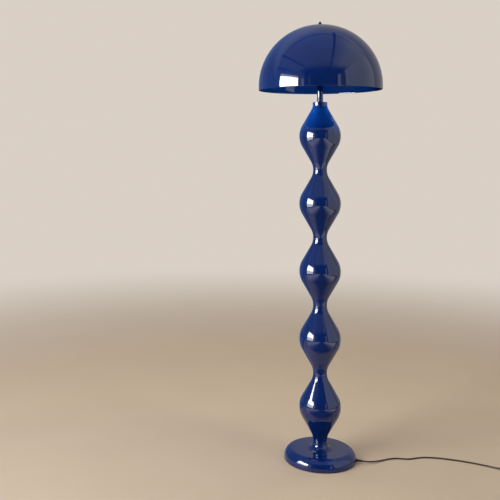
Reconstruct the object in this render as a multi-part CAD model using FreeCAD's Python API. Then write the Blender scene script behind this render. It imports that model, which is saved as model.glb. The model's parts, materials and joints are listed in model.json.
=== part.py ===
import FreeCAD, Part
import math
import os
from FreeCAD import Vector

# A standing lamp: a heavy round base, five spun bulges clamped on a hollow tie rod, and a domed
# shade on a thin rod above two bulbs. Millimetres. The floor is z = 0 and the lamp's axis is Z.
# Heights are worked out from the floor upwards, each piece standing on the one before.

# Fits
slip = 0.2              # radial clearance of a spigot, pin or lead in its hole
thread_fit = 0.05       # radial clearance left at a thread, which is drawn plain
running_gap = 0.3       # between pieces that move past each other
overshoot = 1.0         # how far a cutting shape runs past the piece that it cuts

# An arc's middle lies this share of its radius in from the corner that it rounds
round_inset = 1 - math.sqrt(0.5)

# Base
base_radius = 130.0
base_height = 40.0
base_shoulder = 30.0    # rounding between the side and the top
base_wall = 1.5
cover_lift = 1.0        # the cover's edge stays this far above the floor
pad_thickness = 2.0
pad_width = 27.0
pad_inset = 5.0
plate_thickness = 1.5
weight_thickness = 20.0
weight_margin = 1.0     # between the weight's edge and the start of the cover's rounding
pocket_radius = 24.0    # pocket under the weight for the nut and the bend of the lead
pocket_depth = 16.0
foot_radius = 8.0       # of the cast feet that carry the plate
foot_margin = 13.0      # from the pad's inner edge in to the middle of a foot
foot_count = 4
plate_screw_radius = 2.0
plate_screw_head_radius = 3.8
plate_screw_head = 1.6
plate_screw_grip = 12.0

# Foot of the stem
neck_foot_radius = 46.0
neck_foot_edge = 1.3
neck_flare = 20.0       # radius of the hollow sweep from the foot to the neck
neck_height = 23.0
edge_round = 1.2        # small rounding on turned edges
foot_collar_height = 4.0
spigot_length = 5.0

# Stem
bulge_count = 5
bulge_pitch = 247.4
neck_radius = 25.0
belly_radius = 75.0
neck_arc = 60.0         # radius of the hollow curve at a neck
belly_arc = 78.0        # radius of the round curve at a belly
stem_wall = 1.2
lip_thickness = 1.5
lip_hole_radius = 18.0
bush_flange_radius = 21.0
bush_flange = 3.0
top_collar_height = 15.0
top_collar_radius = 26.5

# Tie rods
rod_radius = 6.5
rod_bore_radius = 4.5
rod_joint_gap = 0.5
coupler_length = 30.0
rod_nut_flats = 19.0
rod_nut_height = 6.5
rod_tail = 1.0          # how far a rod stands out of its nut
washer_radius = 15.0
washer_thickness = 2.0

# Neck tube and the hub on it
tube_radius = 11.0
tube_wall = 1.5
tube_height = 96.0      # the length that shows above the top collar
tube_seat = 2.0
hub_radius = 19.0
hub_wall = 2.5
hub_floor = 4.0
hub_height = 46.0
hub_spigot = 4.0
lid_thickness = 4.0
lid_boss_radius = 8.0
lid_boss = 6.0
port_height = 28.0      # lampholder axis above the hub's underside

# Lampholders and bulbs, laid out along the lampholder's axis from the lamp's axis
holder_count = 2
nipple_radius = 5.0
nipple_bore_radius = 3.2
nipple_inset = 3.5      # how far the nipple reaches in past the hub's wall
nipple_outset = 6.0     # and into the lampholder past its rear wall
holder_start = 2.0      # gap between the hub's side and the lampholder
holder_rear_radius = 9.0
holder_radius = 20.5
holder_cap_length = 19.0
holder_body_length = 36.0
holder_wall = 2.0
holder_floor = 6.0
bulb_cap_radius = 13.2
bulb_cap_length = 27.0
bulb_tip_radius = 4.5
bulb_tip_length = 1.5
bulb_insulator = 5.0    # length of the cone behind the centre contact
bulb_socket = 7.0       # how deep the glass sits in the cap
bulb_length = 105.0
bulb_radius = 30.0
bulb_glass_wall = 0.8
bulb_cap_wall = 0.6
bulb_neck_rise = 2.0    # straight part of the glass past the cap's mouth
contact_thickness = 2.0

# Shade
shade_radius = 223.5
shade_skirt = 16.0      # straight part below the half sphere
shade_wall = 1.2
shade_hem = 2.4
shade_hem_height = 5.0
shade_flat_radius = 16.0
shade_reach = 135.7     # from the hub's lid to the underside of the shade's seat
shade_rod_radius = 4.0
seat_washer_radius = 15.0
seat_nut_flats = 13.0
seat_nut_height = 6.5
finial_radius = 9.0
finial_height = 13.5
finial_rim = 2.0
finial_bore_depth = 6.0
finial_nose = 1.0
finial_swell = 1.0      # how far the finial's sides bulge past a plain cone
finial_swell_rise = 0.6

# Leads inside the lamp
cord_radius = 2.75
branch_lead_radius = 1.3
lead_dip = 2.5          # how far the lead drops on its way to the rod's end
lead_dip_start = 62.0
lead_dip_end = 34.0
block_length = 16.0
block_width = 10.0
block_height = 12.0

# Where the cord leaves the base
exit_azimuth = -18.0
exit_height = 10.0
bushing_hole_radius = 5.0
bushing_flange_radius = 6.0
bushing_flange = 2.0
bushing_taper = 20.0
bushing_tip_radius = 3.6
bushing_rim = 1.0       # how far the outer flange stands out past the inner one
bushing_bevel = 0.8
clamp_inset = 18.0      # from the weight's edge in to the middle of the clamp
clamp_length = 10.0
clamp_width = 24.0
clamp_floor = 1.2       # metal under the lead
clamp_screw_spacing = 16.0
clamp_screw_radius = 1.5
clamp_screw_head_radius = 2.6
clamp_screw_head = 1.6
clamp_screw_grip = 6.0

# The cord on the floor, as points of its route
cord_lift = 0.05        # the cord rests this far above the floor
cord_floor = cord_radius + cord_lift
first_run = 11.0        # straight out of the bushing
cord_route = [
    (167.0, -51.2, 9.2), (183.0, -46.0, 7.2), (203.0, -35.5, 4.8),
    (227.0, -22.0, 3.3),
    (252.0, -10.0, cord_floor), (275.0, -5.0, cord_floor), (300.0, -10.0, cord_floor),
    (325.0, -13.0, cord_floor), (349.0, -4.5, cord_floor), (376.0, 3.0, cord_floor),
    (408.0, 1.0, cord_floor), (442.0, -6.5, cord_floor), (476.0, -18.0, cord_floor),
    (512.0, -32.5, cord_floor), (550.0, -51.0, cord_floor), (588.0, -74.5, cord_floor),
    (611.0, -92.0, 3.2),
]
switch_place = (633.0, -110.0)       # where the cord enters the foot switch's first relief
switch_azimuth = -38.0
second_run = 12.0       # straight out of the switch
second_route = [(748.5, -199.5, 6.0), (762.0, -204.5, 3.4), (777.0, -206.5, cord_floor)]
coil_centre = (793.0, -170.0)
coil_ring_radius = 30.0
coil_columns = 3
coil_layers = 2
tail_route = [
    (829.0, -151.0, 7.6), (828.0, -133.5, 6.4), (820.5, -118.5, 6.0), (807.0, -109.5, 6.5),
]
plug_place = (794.5, -103.0)
plug_azimuth = 152.0

# Foot switch, along its own length
switch_length = 76.0
switch_width = 42.0
switch_corner = 16.0
switch_base_height = 8.0
switch_height = 22.0
switch_wall = 2.0
switch_edge = 4.0
switch_relief_length = 22.0
switch_relief_radius = 5.2
switch_relief_rim = 0.7
switch_relief_flange = 2.0
button_radius = 15.0
button_flange_radius = 17.5
button_flange = 1.8
button_rise = 4.5
button_travel = 2.5
button_edge = 1.5
plunger_radius = 3.0
core_length = 24.0
core_width = 18.0
core_height = 8.0
spring_radius = 5.5
spring_wire_radius = 0.5
spring_turns = 3
spring_steps = 12       # bends in each turn
switch_screw_radius = 1.5
switch_screw_head_radius = 2.8
switch_screw_head = 1.5
switch_screw_spacing = 60.0
switch_boss_radius = 3.6
switch_boss_floor = 1.0
switch_screw_blind = 2.0 # left between a tapped hole and the cover's top
switch_screw_short = 2.0 # and between a screw's tip and the end of its hole

# Plug
plug_length = 36.0
plug_width = 35.0
plug_rear_width = 15.0
plug_shoulder = 17.0
plug_thickness = 13.7
plug_edge = 2.5
plug_relief_length = 22.0
plug_relief_sink = 2.0  # the relief runs this far into the body
plug_bore_stop = 4.0    # the cord ends this far before it
pin_radius = 2.0
pin_length = 19.0
pin_spacing = 18.6
pin_depth = 12.0

# Tie round the coil
tie_width = 12.0
tie_thickness = 0.8
tie_azimuth = 215.0

# Heights and places that follow from the sizes above
plate_bottom = pad_thickness
plate_top = plate_bottom + plate_thickness
weight_top = base_height - base_wall
weight_bottom = weight_top - weight_thickness
weight_radius = base_radius - base_shoulder - weight_margin
pad_inner_radius = base_radius - pad_inset - pad_width
foot_ring_radius = pad_inner_radius - foot_margin
clamp_distance = weight_radius - clamp_inset
pocket_top = weight_bottom + pocket_depth
base_nut_top = pocket_top - washer_thickness
base_nut_bottom = base_nut_top - rod_nut_height
rod_bottom = base_nut_bottom - rod_tail
neck_top = base_height + neck_height
stem_bottom = neck_top + foot_collar_height
joints = [stem_bottom + bulge_pitch * number for number in range(bulge_count + 1)]
collar_top = joints[-1]
collar_bottom = collar_top - top_collar_height
hub_bottom = collar_top + tube_height
hub_top = hub_bottom + hub_height
lid_top = hub_top + lid_thickness
hub_nut_bottom = hub_bottom + hub_floor
hub_nut_top = hub_nut_bottom + rod_nut_height
rod_top = hub_nut_top + rod_tail
port_level = hub_bottom + port_height
seat_level = lid_top + shade_reach
shade_flat_top = seat_level + shade_wall
shade_centre = shade_flat_top - math.sqrt(shade_radius ** 2 - shade_flat_radius ** 2)
shade_rim = shade_centre - shade_skirt
holder_front = hub_radius + holder_start + holder_cap_length + holder_body_length
holder_joint = hub_radius + holder_start + holder_cap_length
bulb_tip = holder_joint + holder_floor + contact_thickness
bushing_reach = base_radius + bushing_flange + bushing_taper

nodes = {}


def pair(radius, height):
    return Vector(radius, 0, height)


def flat_face(start, pieces, place):
    # A closed face. Each piece is the next corner, or an arc as (middle point, end point).
    edges = []
    here = start
    for piece in list(pieces) + [start]:
        if isinstance(piece[0], tuple):
            middle, there = piece
            edges.append(Part.Arc(place(*here), place(*middle), place(*there)).toShape())
        else:
            there = piece
            edges.append(Part.LineSegment(place(*here), place(*there)).toShape())
        here = there
    return Part.Face(Part.Wire(edges))


def solid_of(shape):
    # The single solid of a shape, the right way out.
    solid = shape.Solids[0]
    if solid.Volume < 0:
        solid.reverse()
    return solid


def turned(start, *pieces):
    # A body turned about the Z axis, from its half section in radius and height.
    face = flat_face(start, pieces, pair)
    return solid_of(face.revolve(Vector(0, 0, 0), Vector(0, 0, 1), 360))


def ring(outer, inner, bottom, top):
    return turned((inner, bottom), (outer, bottom), (outer, top), (inner, top))


def disc(radius, bottom, top):
    return Part.makeCylinder(radius, top - bottom, Vector(0, 0, bottom))


def hex_nut(flats, bore, bottom, top):
    corner = flats / math.sqrt(3)
    points = [Vector(corner * math.cos(math.radians(60 * side)),
                     corner * math.sin(math.radians(60 * side)), bottom) for side in range(7)]
    prism = Part.Face(Part.makePolygon(points)).extrude(Vector(0, 0, top - bottom))
    return prism.cut(disc(bore, bottom - overshoot, top + overshoot))


def block(length, width, bottom, top):
    return Part.makeBox(length, width, top - bottom, Vector(-length / 2, -width / 2, bottom))


def moved(shape, across, along, height=0.0):
    copy = shape.copy()
    copy.translate(Vector(across, along, height))
    return copy


def swung(shape, azimuth, place=(0.0, 0.0)):
    # Turn a shape about Z, then move it over the floor.
    copy = shape.copy()
    copy.rotate(Vector(0, 0, 0), Vector(0, 0, 1), azimuth)
    copy.translate(Vector(place[0], place[1], 0))
    return copy


def laid(shape, height):
    # Lay a shape that was made along +Z so that it points along +X at a height.
    copy = shape.copy()
    copy.rotate(Vector(0, 0, 0), Vector(0, 1, 0), 90)
    copy.translate(Vector(0, 0, height))
    return copy


def on_circle(distance, azimuth):
    return (distance * math.cos(math.radians(azimuth)), distance * math.sin(math.radians(azimuth)))


# ---- Base

def cover_section(shrink):
    # The cover's outline, drawn in by a wall thickness.
    outer = base_radius - shrink
    round_radius = base_shoulder - shrink
    round_centre = base_radius - base_shoulder
    side_top = base_height - base_shoulder
    diagonal = round_radius * math.sqrt(0.5)
    return [
        (outer, side_top),
        ((round_centre + diagonal, side_top + diagonal), (round_centre, side_top + round_radius)),
        (0.0, side_top + round_radius),
    ]


def cover_reach(height, shrink):
    # How far out the cover's side stands at a height, drawn in by a wall thickness.
    above = max(0.0, height - (base_height - base_shoulder))
    return base_radius - base_shoulder + math.sqrt((base_shoulder - shrink) ** 2 - above ** 2)


def base_cover():
    outside = turned((0.0, cover_lift), (base_radius, cover_lift), *cover_section(0.0))
    inside = turned((0.0, 0.0), (base_radius - base_wall, 0.0), *cover_section(base_wall))
    shell = outside.cut(inside)
    shell = shell.cut(disc(rod_radius + slip, weight_top - overshoot, base_height + overshoot))
    hole = Part.makeCylinder(bushing_hole_radius + slip, base_radius, Vector(0, 0, exit_height),
                             Vector(1, 0, 0))
    hole = hole.cut(disc(base_radius / 2, 0, base_height))
    return shell.cut(swung(hole, exit_azimuth))


def base_pad():
    return ring(base_radius - pad_inset, pad_inner_radius, 0.0, pad_thickness)


def foot_places():
    turn = 360.0 / foot_count
    return [on_circle(foot_ring_radius, exit_azimuth + turn * (number + 0.5))
            for number in range(foot_count)]


def base_plate():
    plate = disc(base_radius - base_wall - running_gap, plate_bottom, plate_top)
    for x, y in foot_places():
        plate = plate.cut(moved(disc(plate_screw_radius + slip, 0, base_height), x, y))
    return plate


def plate_screws():
    screws = []
    for x, y in foot_places():
        head = disc(plate_screw_head_radius, plate_bottom - plate_screw_head, plate_bottom)
        shank = disc(plate_screw_radius, plate_bottom, plate_top + plate_screw_grip)
        screws.append(moved(head.fuse(shank).removeSplitter(), x, y))
    return Part.makeCompound(screws)


def clamp_screw_places():
    middle = Vector(*on_circle(clamp_distance, exit_azimuth), 0)
    sideways = Vector(*on_circle(clamp_screw_spacing / 2, exit_azimuth + 90), 0)
    return [middle + sideways, middle - sideways]


def base_weight():
    weight = disc(weight_radius, weight_bottom, weight_top)
    for x, y in foot_places():
        weight = weight.fuse(moved(disc(foot_radius, plate_top, weight_bottom + overshoot), x, y))
        tapped = disc(plate_screw_radius + thread_fit, 0, plate_top + plate_screw_grip + overshoot)
        weight = weight.cut(moved(tapped, x, y))
    weight = weight.cut(disc(pocket_radius, 0, pocket_top))
    weight = weight.cut(disc(rod_radius + slip, 0, base_height))
    for place in clamp_screw_places():
        tapped = disc(clamp_screw_radius + thread_fit, 0, weight_bottom + clamp_screw_grip + overshoot)
        weight = weight.cut(moved(tapped, place.x, place.y))
    return weight


def base_neck():
    # A turned foot: flat edge, hollow sweep, straight neck with a rounded top edge.
    sweep_centre = neck_radius + neck_flare
    sweep_bottom = base_height + neck_foot_edge
    diagonal = neck_flare * round_inset
    tip = edge_round * round_inset
    bore = rod_radius + slip
    return turned(
        (bore, base_height), (neck_foot_radius, base_height), (neck_foot_radius, sweep_bottom),
        (sweep_centre, sweep_bottom),
        ((neck_radius + diagonal, sweep_bottom + diagonal),
         (neck_radius, sweep_bottom + neck_flare)),
        (neck_radius, neck_top - edge_round),
        ((neck_radius - tip, neck_top - tip), (neck_radius - edge_round, neck_top)),
        (bore, neck_top))


def foot_collar():
    # A plain ring between the foot and the first bulge, with a spigot up into the bulge's lip.
    tip = edge_round * round_inset
    bore = rod_radius + slip
    spigot = lip_hole_radius - slip
    return turned(
        (bore, neck_top), (neck_radius - edge_round, neck_top),
        ((neck_radius - tip, neck_top + tip), (neck_radius, neck_top + edge_round)),
        (neck_radius, stem_bottom), (spigot, stem_bottom), (spigot, stem_bottom + spigot_length),
        (bore, stem_bottom + spigot_length))


# ---- Stem

def bulge_arcs(wall):
    # Where the neck's arc and the belly's arc meet the straight flank, for one half of a bulge.
    half = bulge_pitch / 2
    swell = belly_radius - neck_radius
    room = 0.98 * (half ** 2 + swell ** 2) / (2 * swell)
    share = min(1.0, room / (neck_arc + belly_arc))
    neck_curve = neck_arc * share
    belly_curve = belly_arc * share
    neck_centre = neck_radius + neck_curve
    belly_centre = belly_radius - belly_curve
    apart = math.hypot(belly_centre - neck_centre, half)
    lean = math.atan2(half, belly_centre - neck_centre)
    lean += math.acos((neck_curve + belly_curve) / apart)
    neck_curve += wall
    belly_curve -= wall
    return neck_centre, neck_curve, belly_centre, belly_curve, lean


def bulge_body(bottom, wall):
    # A solid bulge between two joints, drawn in by a wall thickness.
    neck_centre, neck_curve, belly_centre, belly_curve, lean = bulge_arcs(wall)
    middle = bottom + bulge_pitch / 2
    top = bottom + bulge_pitch
    neck_out = neck_centre + neck_curve * math.cos(lean)
    neck_up = neck_curve * math.sin(lean)
    belly_out = belly_centre - belly_curve * math.cos(lean)
    belly_down = belly_curve * math.sin(lean)
    half_lean = (lean + math.pi) / 2
    bend_out = neck_centre + neck_curve * math.cos(half_lean)
    bend_up = neck_curve * math.sin(half_lean)
    start = neck_centre - neck_curve
    return turned(
        (0.0, bottom), (start, bottom),
        ((bend_out, bottom + bend_up), (neck_out, bottom + neck_up)),
        (belly_out, middle - belly_down),
        ((belly_centre + belly_curve, middle), (belly_out, middle + belly_down)),
        (neck_out, top - neck_up),
        ((bend_out, top - bend_up), (start, top)),
        (0.0, top))


def stem_shell(number):
    # A spun shell with an inward lip at each end; the last one stops under the top collar.
    bottom = joints[number]
    top = joints[number + 1] if number + 1 < bulge_count else collar_bottom
    shell = bulge_body(bottom, 0.0)
    hollow = bulge_body(bottom, stem_wall)
    above = disc(2 * belly_radius, top, top + bulge_pitch)
    shell = shell.cut(above)
    hollow = hollow.cut(disc(2 * belly_radius, bottom - overshoot, bottom + lip_thickness))
    hollow = hollow.cut(disc(2 * belly_radius, top - lip_thickness, top + bulge_pitch))
    return shell.cut(hollow).cut(disc(lip_hole_radius, bottom - overshoot, top + overshoot))


def joint_bush(number):
    # Centres two shells on the rod; its flange lies on the upper shell's lip.
    joint = joints[number]
    bore = rod_radius + slip
    spigot = lip_hole_radius - slip
    seat = joint + lip_thickness
    return turned(
        (bore, joint - spigot_length), (spigot, joint - spigot_length), (spigot, seat),
        (bush_flange_radius, seat), (bush_flange_radius, seat + bush_flange),
        (bore, seat + bush_flange))


def top_collar():
    tip = edge_round * round_inset
    bore = rod_radius + slip
    spigot = lip_hole_radius - slip
    seat = tube_radius + slip
    outer = top_collar_radius
    return turned(
        (bore, collar_bottom - spigot_length), (spigot, collar_bottom - spigot_length),
        (spigot, collar_bottom), (outer, collar_bottom), (outer, collar_top - edge_round),
        ((outer - tip, collar_top - tip), (outer - edge_round, collar_top)),
        (seat, collar_top), (seat, collar_top - tube_seat), (bore, collar_top - tube_seat))


# ---- Rods

def coupler_levels():
    # The rods meet in the middle of the second bulge and of the last but one.
    return [(joints[1] + joints[2]) / 2, (joints[-3] + joints[-2]) / 2]


def tie_rods():
    lower, upper = coupler_levels()
    half_gap = rod_joint_gap / 2
    return {
        "lower_rod": ring(rod_radius, rod_bore_radius, rod_bottom, lower - half_gap),
        "middle_rod": ring(rod_radius, rod_bore_radius, lower + half_gap, upper - half_gap),
        "upper_rod": ring(rod_radius, rod_bore_radius, upper + half_gap, rod_top),
    }


def rod_nut(bottom, top):
    return hex_nut(rod_nut_flats, rod_radius + thread_fit, bottom, top)


# ---- Top: tube, hub and lampholders

def neck_tube():
    return ring(tube_radius, tube_radius - tube_wall, collar_top - tube_seat, hub_bottom)


def port(radius):
    # A drill through the hub's wall at each lampholder.
    reach = 2 * hub_radius
    return Part.makeCylinder(radius, 2 * reach, Vector(-reach, 0, port_level), Vector(1, 0, 0))


def hub_body():
    spigot = tube_radius - tube_wall - slip
    inner = hub_radius - hub_wall
    floor = hub_bottom + hub_floor
    bore = rod_radius + slip
    body = turned(
        (bore, hub_bottom - hub_spigot), (spigot, hub_bottom - hub_spigot), (spigot, hub_bottom),
        (hub_radius, hub_bottom), (hub_radius, hub_top), (inner, hub_top), (inner, floor),
        (bore, floor))
    return body.cut(port(nipple_radius + thread_fit))


def hub_lid():
    bore = shade_rod_radius + thread_fit
    return turned(
        (bore, hub_top - lid_boss), (lid_boss_radius, hub_top - lid_boss),
        (lid_boss_radius, hub_top), (hub_radius, hub_top), (hub_radius, lid_top - edge_round),
        (hub_radius - edge_round, lid_top), (bore, lid_top))


def sideways(shape, number):
    # Lay a piece made along +Z onto a lampholder's axis.
    return swung(laid(shape, port_level), 360.0 * number / holder_count)


def each_holder(make):
    return Part.makeCompound([sideways(make(), number) for number in range(holder_count)])


def nipple():
    inner_end = hub_radius - hub_wall - nipple_inset
    outer_end = hub_radius + holder_start + holder_wall + nipple_outset
    return ring(nipple_radius, nipple_bore_radius, inner_end, outer_end)


def holder_cap():
    # The lampholder's rear cover, a small bell.
    rear = hub_radius + holder_start
    outer = holder_radius
    swell = outer - holder_rear_radius
    bend = swell * math.sqrt(0.5)
    bell = turned(
        (0.0, rear), (holder_rear_radius, rear),
        ((holder_rear_radius + bend, rear + swell - bend), (outer, rear + swell)),
        (outer, holder_joint), (0.0, holder_joint))
    inner = outer - holder_wall
    inner_rear = holder_rear_radius - holder_wall
    floor = rear + holder_wall
    bend = (inner - inner_rear) * math.sqrt(0.5)
    hollow = turned(
        (0.0, floor), (inner_rear, floor),
        ((inner_rear + bend, floor + inner - inner_rear - bend), (inner, floor + inner - inner_rear)),
        (inner, holder_joint + overshoot), (0.0, holder_joint + overshoot))
    return bell.cut(hollow).cut(disc(nipple_radius + thread_fit, rear - overshoot, floor + overshoot))


def holder_body():
    bore = bulb_cap_radius + slip
    floor = holder_joint + holder_floor
    cup = turned(
        (0.0, holder_joint), (holder_radius, holder_joint), (holder_radius, holder_front),
        (bore, holder_front), (bore, floor), (0.0, floor))
    return cup.cut(disc(branch_lead_radius + slip, holder_joint - overshoot, floor + overshoot))


def holder_contact():
    base = holder_joint + holder_floor
    return disc(bulb_tip_radius, base, base + contact_thickness)


def bulb_cap():
    # The screw cap: centre contact, insulating cone, threaded sleeve with room for the glass.
    cone_start = bulb_tip + bulb_tip_length
    cone_end = cone_start + bulb_insulator
    mouth = bulb_tip + bulb_cap_length
    bottom = mouth - bulb_socket
    sleeve = glass_neck_radius() + slip
    return turned(
        (0.0, bulb_tip), (bulb_tip_radius, bulb_tip), (bulb_tip_radius, cone_start),
        (bulb_cap_radius, cone_end), (bulb_cap_radius, mouth), (sleeve, mouth), (sleeve, bottom),
        (0.0, bottom))


def glass_neck_radius():
    return bulb_cap_radius - bulb_cap_wall - slip


def glass_body(wall):
    # A pear: straight neck, cone that touches the ball, ball.
    neck = glass_neck_radius() - wall
    start = bulb_tip + bulb_cap_length - bulb_socket
    neck_end = bulb_tip + bulb_cap_length + bulb_neck_rise
    ball = bulb_radius - wall
    centre = bulb_tip + bulb_length - bulb_radius
    apart = math.hypot(centre - neck_end, neck)
    turn = math.atan2(neck, neck_end - centre) - math.acos(ball / apart)
    touch = (ball * math.sin(turn), centre + ball * math.cos(turn))
    return turned(
        (0.0, start + wall), (neck, start + wall), (neck, neck_end), touch,
        ((ball * math.sin(turn / 2), centre + ball * math.cos(turn / 2)), (0.0, centre + ball)))


def bulb_glass():
    return solid_of(glass_body(0.0).cut(glass_body(bulb_glass_wall)))


# ---- Shade

def dome(radius, flat_radius, bottom):
    # A solid half ball with a straight skirt and a small flat on top.
    tip = math.atan2(flat_radius, math.sqrt(radius ** 2 - flat_radius ** 2))
    middle = (math.pi / 2 + tip) / 2
    flat = shade_centre + radius * math.cos(tip)
    return turned(
        (0.0, bottom), (radius, bottom), (radius, shade_centre),
        ((radius * math.sin(middle), shade_centre + radius * math.cos(middle)),
         (flat_radius, flat)),
        (0.0, flat))


def shade():
    outside = dome(shade_radius, shade_flat_radius, shade_rim)
    inner = shade_radius - shade_wall
    inner_flat = math.sqrt(inner ** 2 - (seat_level - shade_centre) ** 2)
    shell = outside.cut(dome(inner, inner_flat, shade_rim - overshoot))
    hem = ring(inner + shade_wall / 2, shade_radius - shade_hem, shade_rim,
               shade_rim + shade_hem_height)
    shell = shell.fuse(hem).removeSplitter()
    return solid_of(shell.cut(disc(shade_rod_radius + running_gap, seat_level - overshoot,
                                   shade_flat_top + overshoot)))


def shade_rod():
    return disc(shade_rod_radius, hub_top - lid_boss, shade_flat_top + finial_bore_depth - rod_tail)


def seat_washer():
    return ring(seat_washer_radius, shade_rod_radius + slip, seat_level - washer_thickness,
                seat_level)


def seat_nut():
    top = seat_level - washer_thickness
    return hex_nut(seat_nut_flats, shade_rod_radius + thread_fit, top - seat_nut_height, top)


def finial():
    # A small pointed cap nut.
    bottom = shade_flat_top
    shoulder = bottom + finial_rim
    top = bottom + finial_height
    bulge = (finial_radius + finial_nose) / 2 + finial_swell
    body = turned(
        (0.0, bottom), (finial_radius, bottom), (finial_radius, shoulder),
        ((bulge, (shoulder + top) / 2 + finial_swell_rise), (finial_nose, top)), (0.0, top))
    return body.cut(disc(shade_rod_radius + thread_fit, bottom - overshoot, bottom + finial_bore_depth))


# ---- Cords and leads

def rounded_path(points, name):
    # Straight runs joined by arcs that touch both runs, each as large as its runs allow.
    points = [Vector(*point) for point in points]
    edges = []
    radii = []
    here = points[0]
    for before, corner, after in zip(points, points[1:], points[2:]):
        arriving = (corner - before).normalize()
        leaving = (after - corner).normalize()
        half_turn = arriving.getAngle(leaving) / 2
        reach = 0.45 * min(corner.distanceToPoint(before), corner.distanceToPoint(after))
        radius = reach / math.tan(half_turn)
        first = corner - arriving * reach
        last = corner + leaving * reach
        inward = (leaving - arriving).normalize()
        middle = corner + inward * (radius / math.cos(half_turn) - radius)
        edges.append(Part.LineSegment(here, first).toShape())
        edges.append(Part.Arc(first, middle, last).toShape())
        radii.append(radius)
        here = last
    edges.append(Part.LineSegment(here, points[-1]).toShape())
    path = Part.Wire(edges)
    print(name, "length", round(path.Length, 1), "radii", [round(radius, 1) for radius in radii])
    return path


def tube_along(points, radius, name):
    path = rounded_path(points, name)
    start = Vector(*points[0])
    heading = Vector(*points[1]) - start
    circle = Part.Wire(Part.makeCircle(radius, start, heading))
    tube = solid_of(path.makePipeShell([circle], True, True))
    wanted = math.pi * radius ** 2 * path.Length
    print(name, "volume over section times length", round(tube.Volume / wanted, 5))
    return tube


def along(place, azimuth, distance, height):
    x, y = on_circle(distance, azimuth)
    return (place[0] + x, place[1] + y, height)


def bushing_tip():
    return along((0, 0), exit_azimuth, bushing_reach, exit_height)


def inner_lead():
    # From the bushing's tip over the plate, up through the rods and into the hub.
    lead_end = port_level - block_height / 2
    low = exit_height - lead_dip
    points = [
        bushing_tip(),
        along((0, 0), exit_azimuth, lead_dip_start, exit_height),
        along((0, 0), exit_azimuth, lead_dip_end, low),
        (0.0, 0.0, low),
        (0.0, 0.0, lead_end),
    ]
    return tube_along(points, cord_radius, "inner_lead")


def cord_bushing():
    # Made along +Z, where z is the distance from the lamp's axis.
    bore = cord_radius + thread_fit
    outside = base_radius + thread_fit
    straight = math.sqrt((base_radius - base_wall) ** 2 - bushing_flange_radius ** 2)
    rounded = cover_reach(exit_height + bushing_flange_radius, base_wall)
    inside = min(straight, rounded) - thread_fit
    taper_start = outside + bushing_flange
    tip = bushing_reach
    rim = bushing_flange_radius + bushing_rim
    body = turned(
        (bore, inside - bushing_flange), (bushing_flange_radius, inside - bushing_flange),
        (bushing_flange_radius, inside), (bushing_hole_radius, inside),
        (bushing_hole_radius, outside), (rim, outside),
        (rim, taper_start - bushing_bevel), (rim - bushing_bevel, taper_start),
        (bushing_hole_radius, taper_start), (bushing_tip_radius, tip), (bore, tip))
    return swung(laid(body, exit_height), exit_azimuth)


def cord_clamp():
    bottom = exit_height - cord_radius - clamp_floor
    body = block(clamp_length, clamp_width, bottom, weight_bottom)
    hole = Part.makeCylinder(cord_radius + slip, 2 * clamp_length,
                             Vector(-clamp_length, 0, exit_height), Vector(1, 0, 0))
    body = body.cut(hole)
    place = on_circle(clamp_distance, exit_azimuth)
    body = swung(body, exit_azimuth, place)
    for screw in clamp_screw_places():
        body = body.cut(moved(disc(clamp_screw_radius + slip, 0, base_height), screw.x, screw.y))
    return body


def clamp_screws():
    bottom = exit_height - cord_radius - clamp_floor
    screws = []
    for place in clamp_screw_places():
        head = disc(clamp_screw_head_radius, bottom - clamp_screw_head, bottom)
        shank = disc(clamp_screw_radius, bottom, weight_bottom + clamp_screw_grip)
        screws.append(moved(head.fuse(shank).removeSplitter(), place.x, place.y))
    return Part.makeCompound(screws)


def terminal_block():
    middle = port_level
    return block(block_length, block_width, middle - block_height / 2, middle + block_height / 2)


def branch_lead():
    return disc(branch_lead_radius, block_length / 2, holder_joint + holder_floor)


# ---- Foot switch, made along +X from its first relief, then laid on the floor

def switch_origin(distance):
    return along(switch_place, switch_azimuth, distance, 0.0)[:2]


def switch_plan(shrink, bottom, top):
    # A flat block with round corners, drawn in by a wall.
    length = switch_length - 2 * shrink
    width = switch_width - 2 * shrink
    corner = switch_corner - shrink
    body = block(length, width, bottom, top)
    upright = [edge for edge in body.Edges
               if abs(edge.tangentAt(edge.FirstParameter).z) > 0.99]
    return body.makeFillet(corner, upright)


def placed_switch(shape):
    return swung(shape, switch_azimuth, switch_origin(switch_relief_length + switch_length / 2))


def switch_screw_places():
    return [(switch_screw_spacing / 2, 0.0), (-switch_screw_spacing / 2, 0.0)]


def lead_cut():
    # The way of the cord's reliefs through the ends of the housing.
    return Part.makeCylinder(switch_relief_radius, 2 * switch_length,
                             Vector(-switch_length, 0, switch_base_height), Vector(1, 0, 0))


def screw_seat():
    # The floor screws' heads lie sunk in the base, a little above the floor.
    return switch_screw_head + running_gap


def switch_base():
    shell = switch_plan(0.0, 0.0, switch_base_height)
    shell = shell.cut(switch_plan(switch_wall, switch_wall, switch_base_height + overshoot))
    shell = shell.cut(lead_cut())
    for x, y in switch_screw_places():
        boss = disc(switch_boss_radius, switch_boss_floor, switch_base_height)
        hole = disc(switch_screw_radius + slip, -overshoot, switch_base_height + overshoot)
        recess = disc(switch_screw_head_radius + slip, -overshoot, screw_seat())
        shell = shell.fuse(moved(boss, x, y))
        shell = shell.cut(moved(hole, x, y)).cut(moved(recess, x, y))
    return placed_switch(shell)


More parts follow.
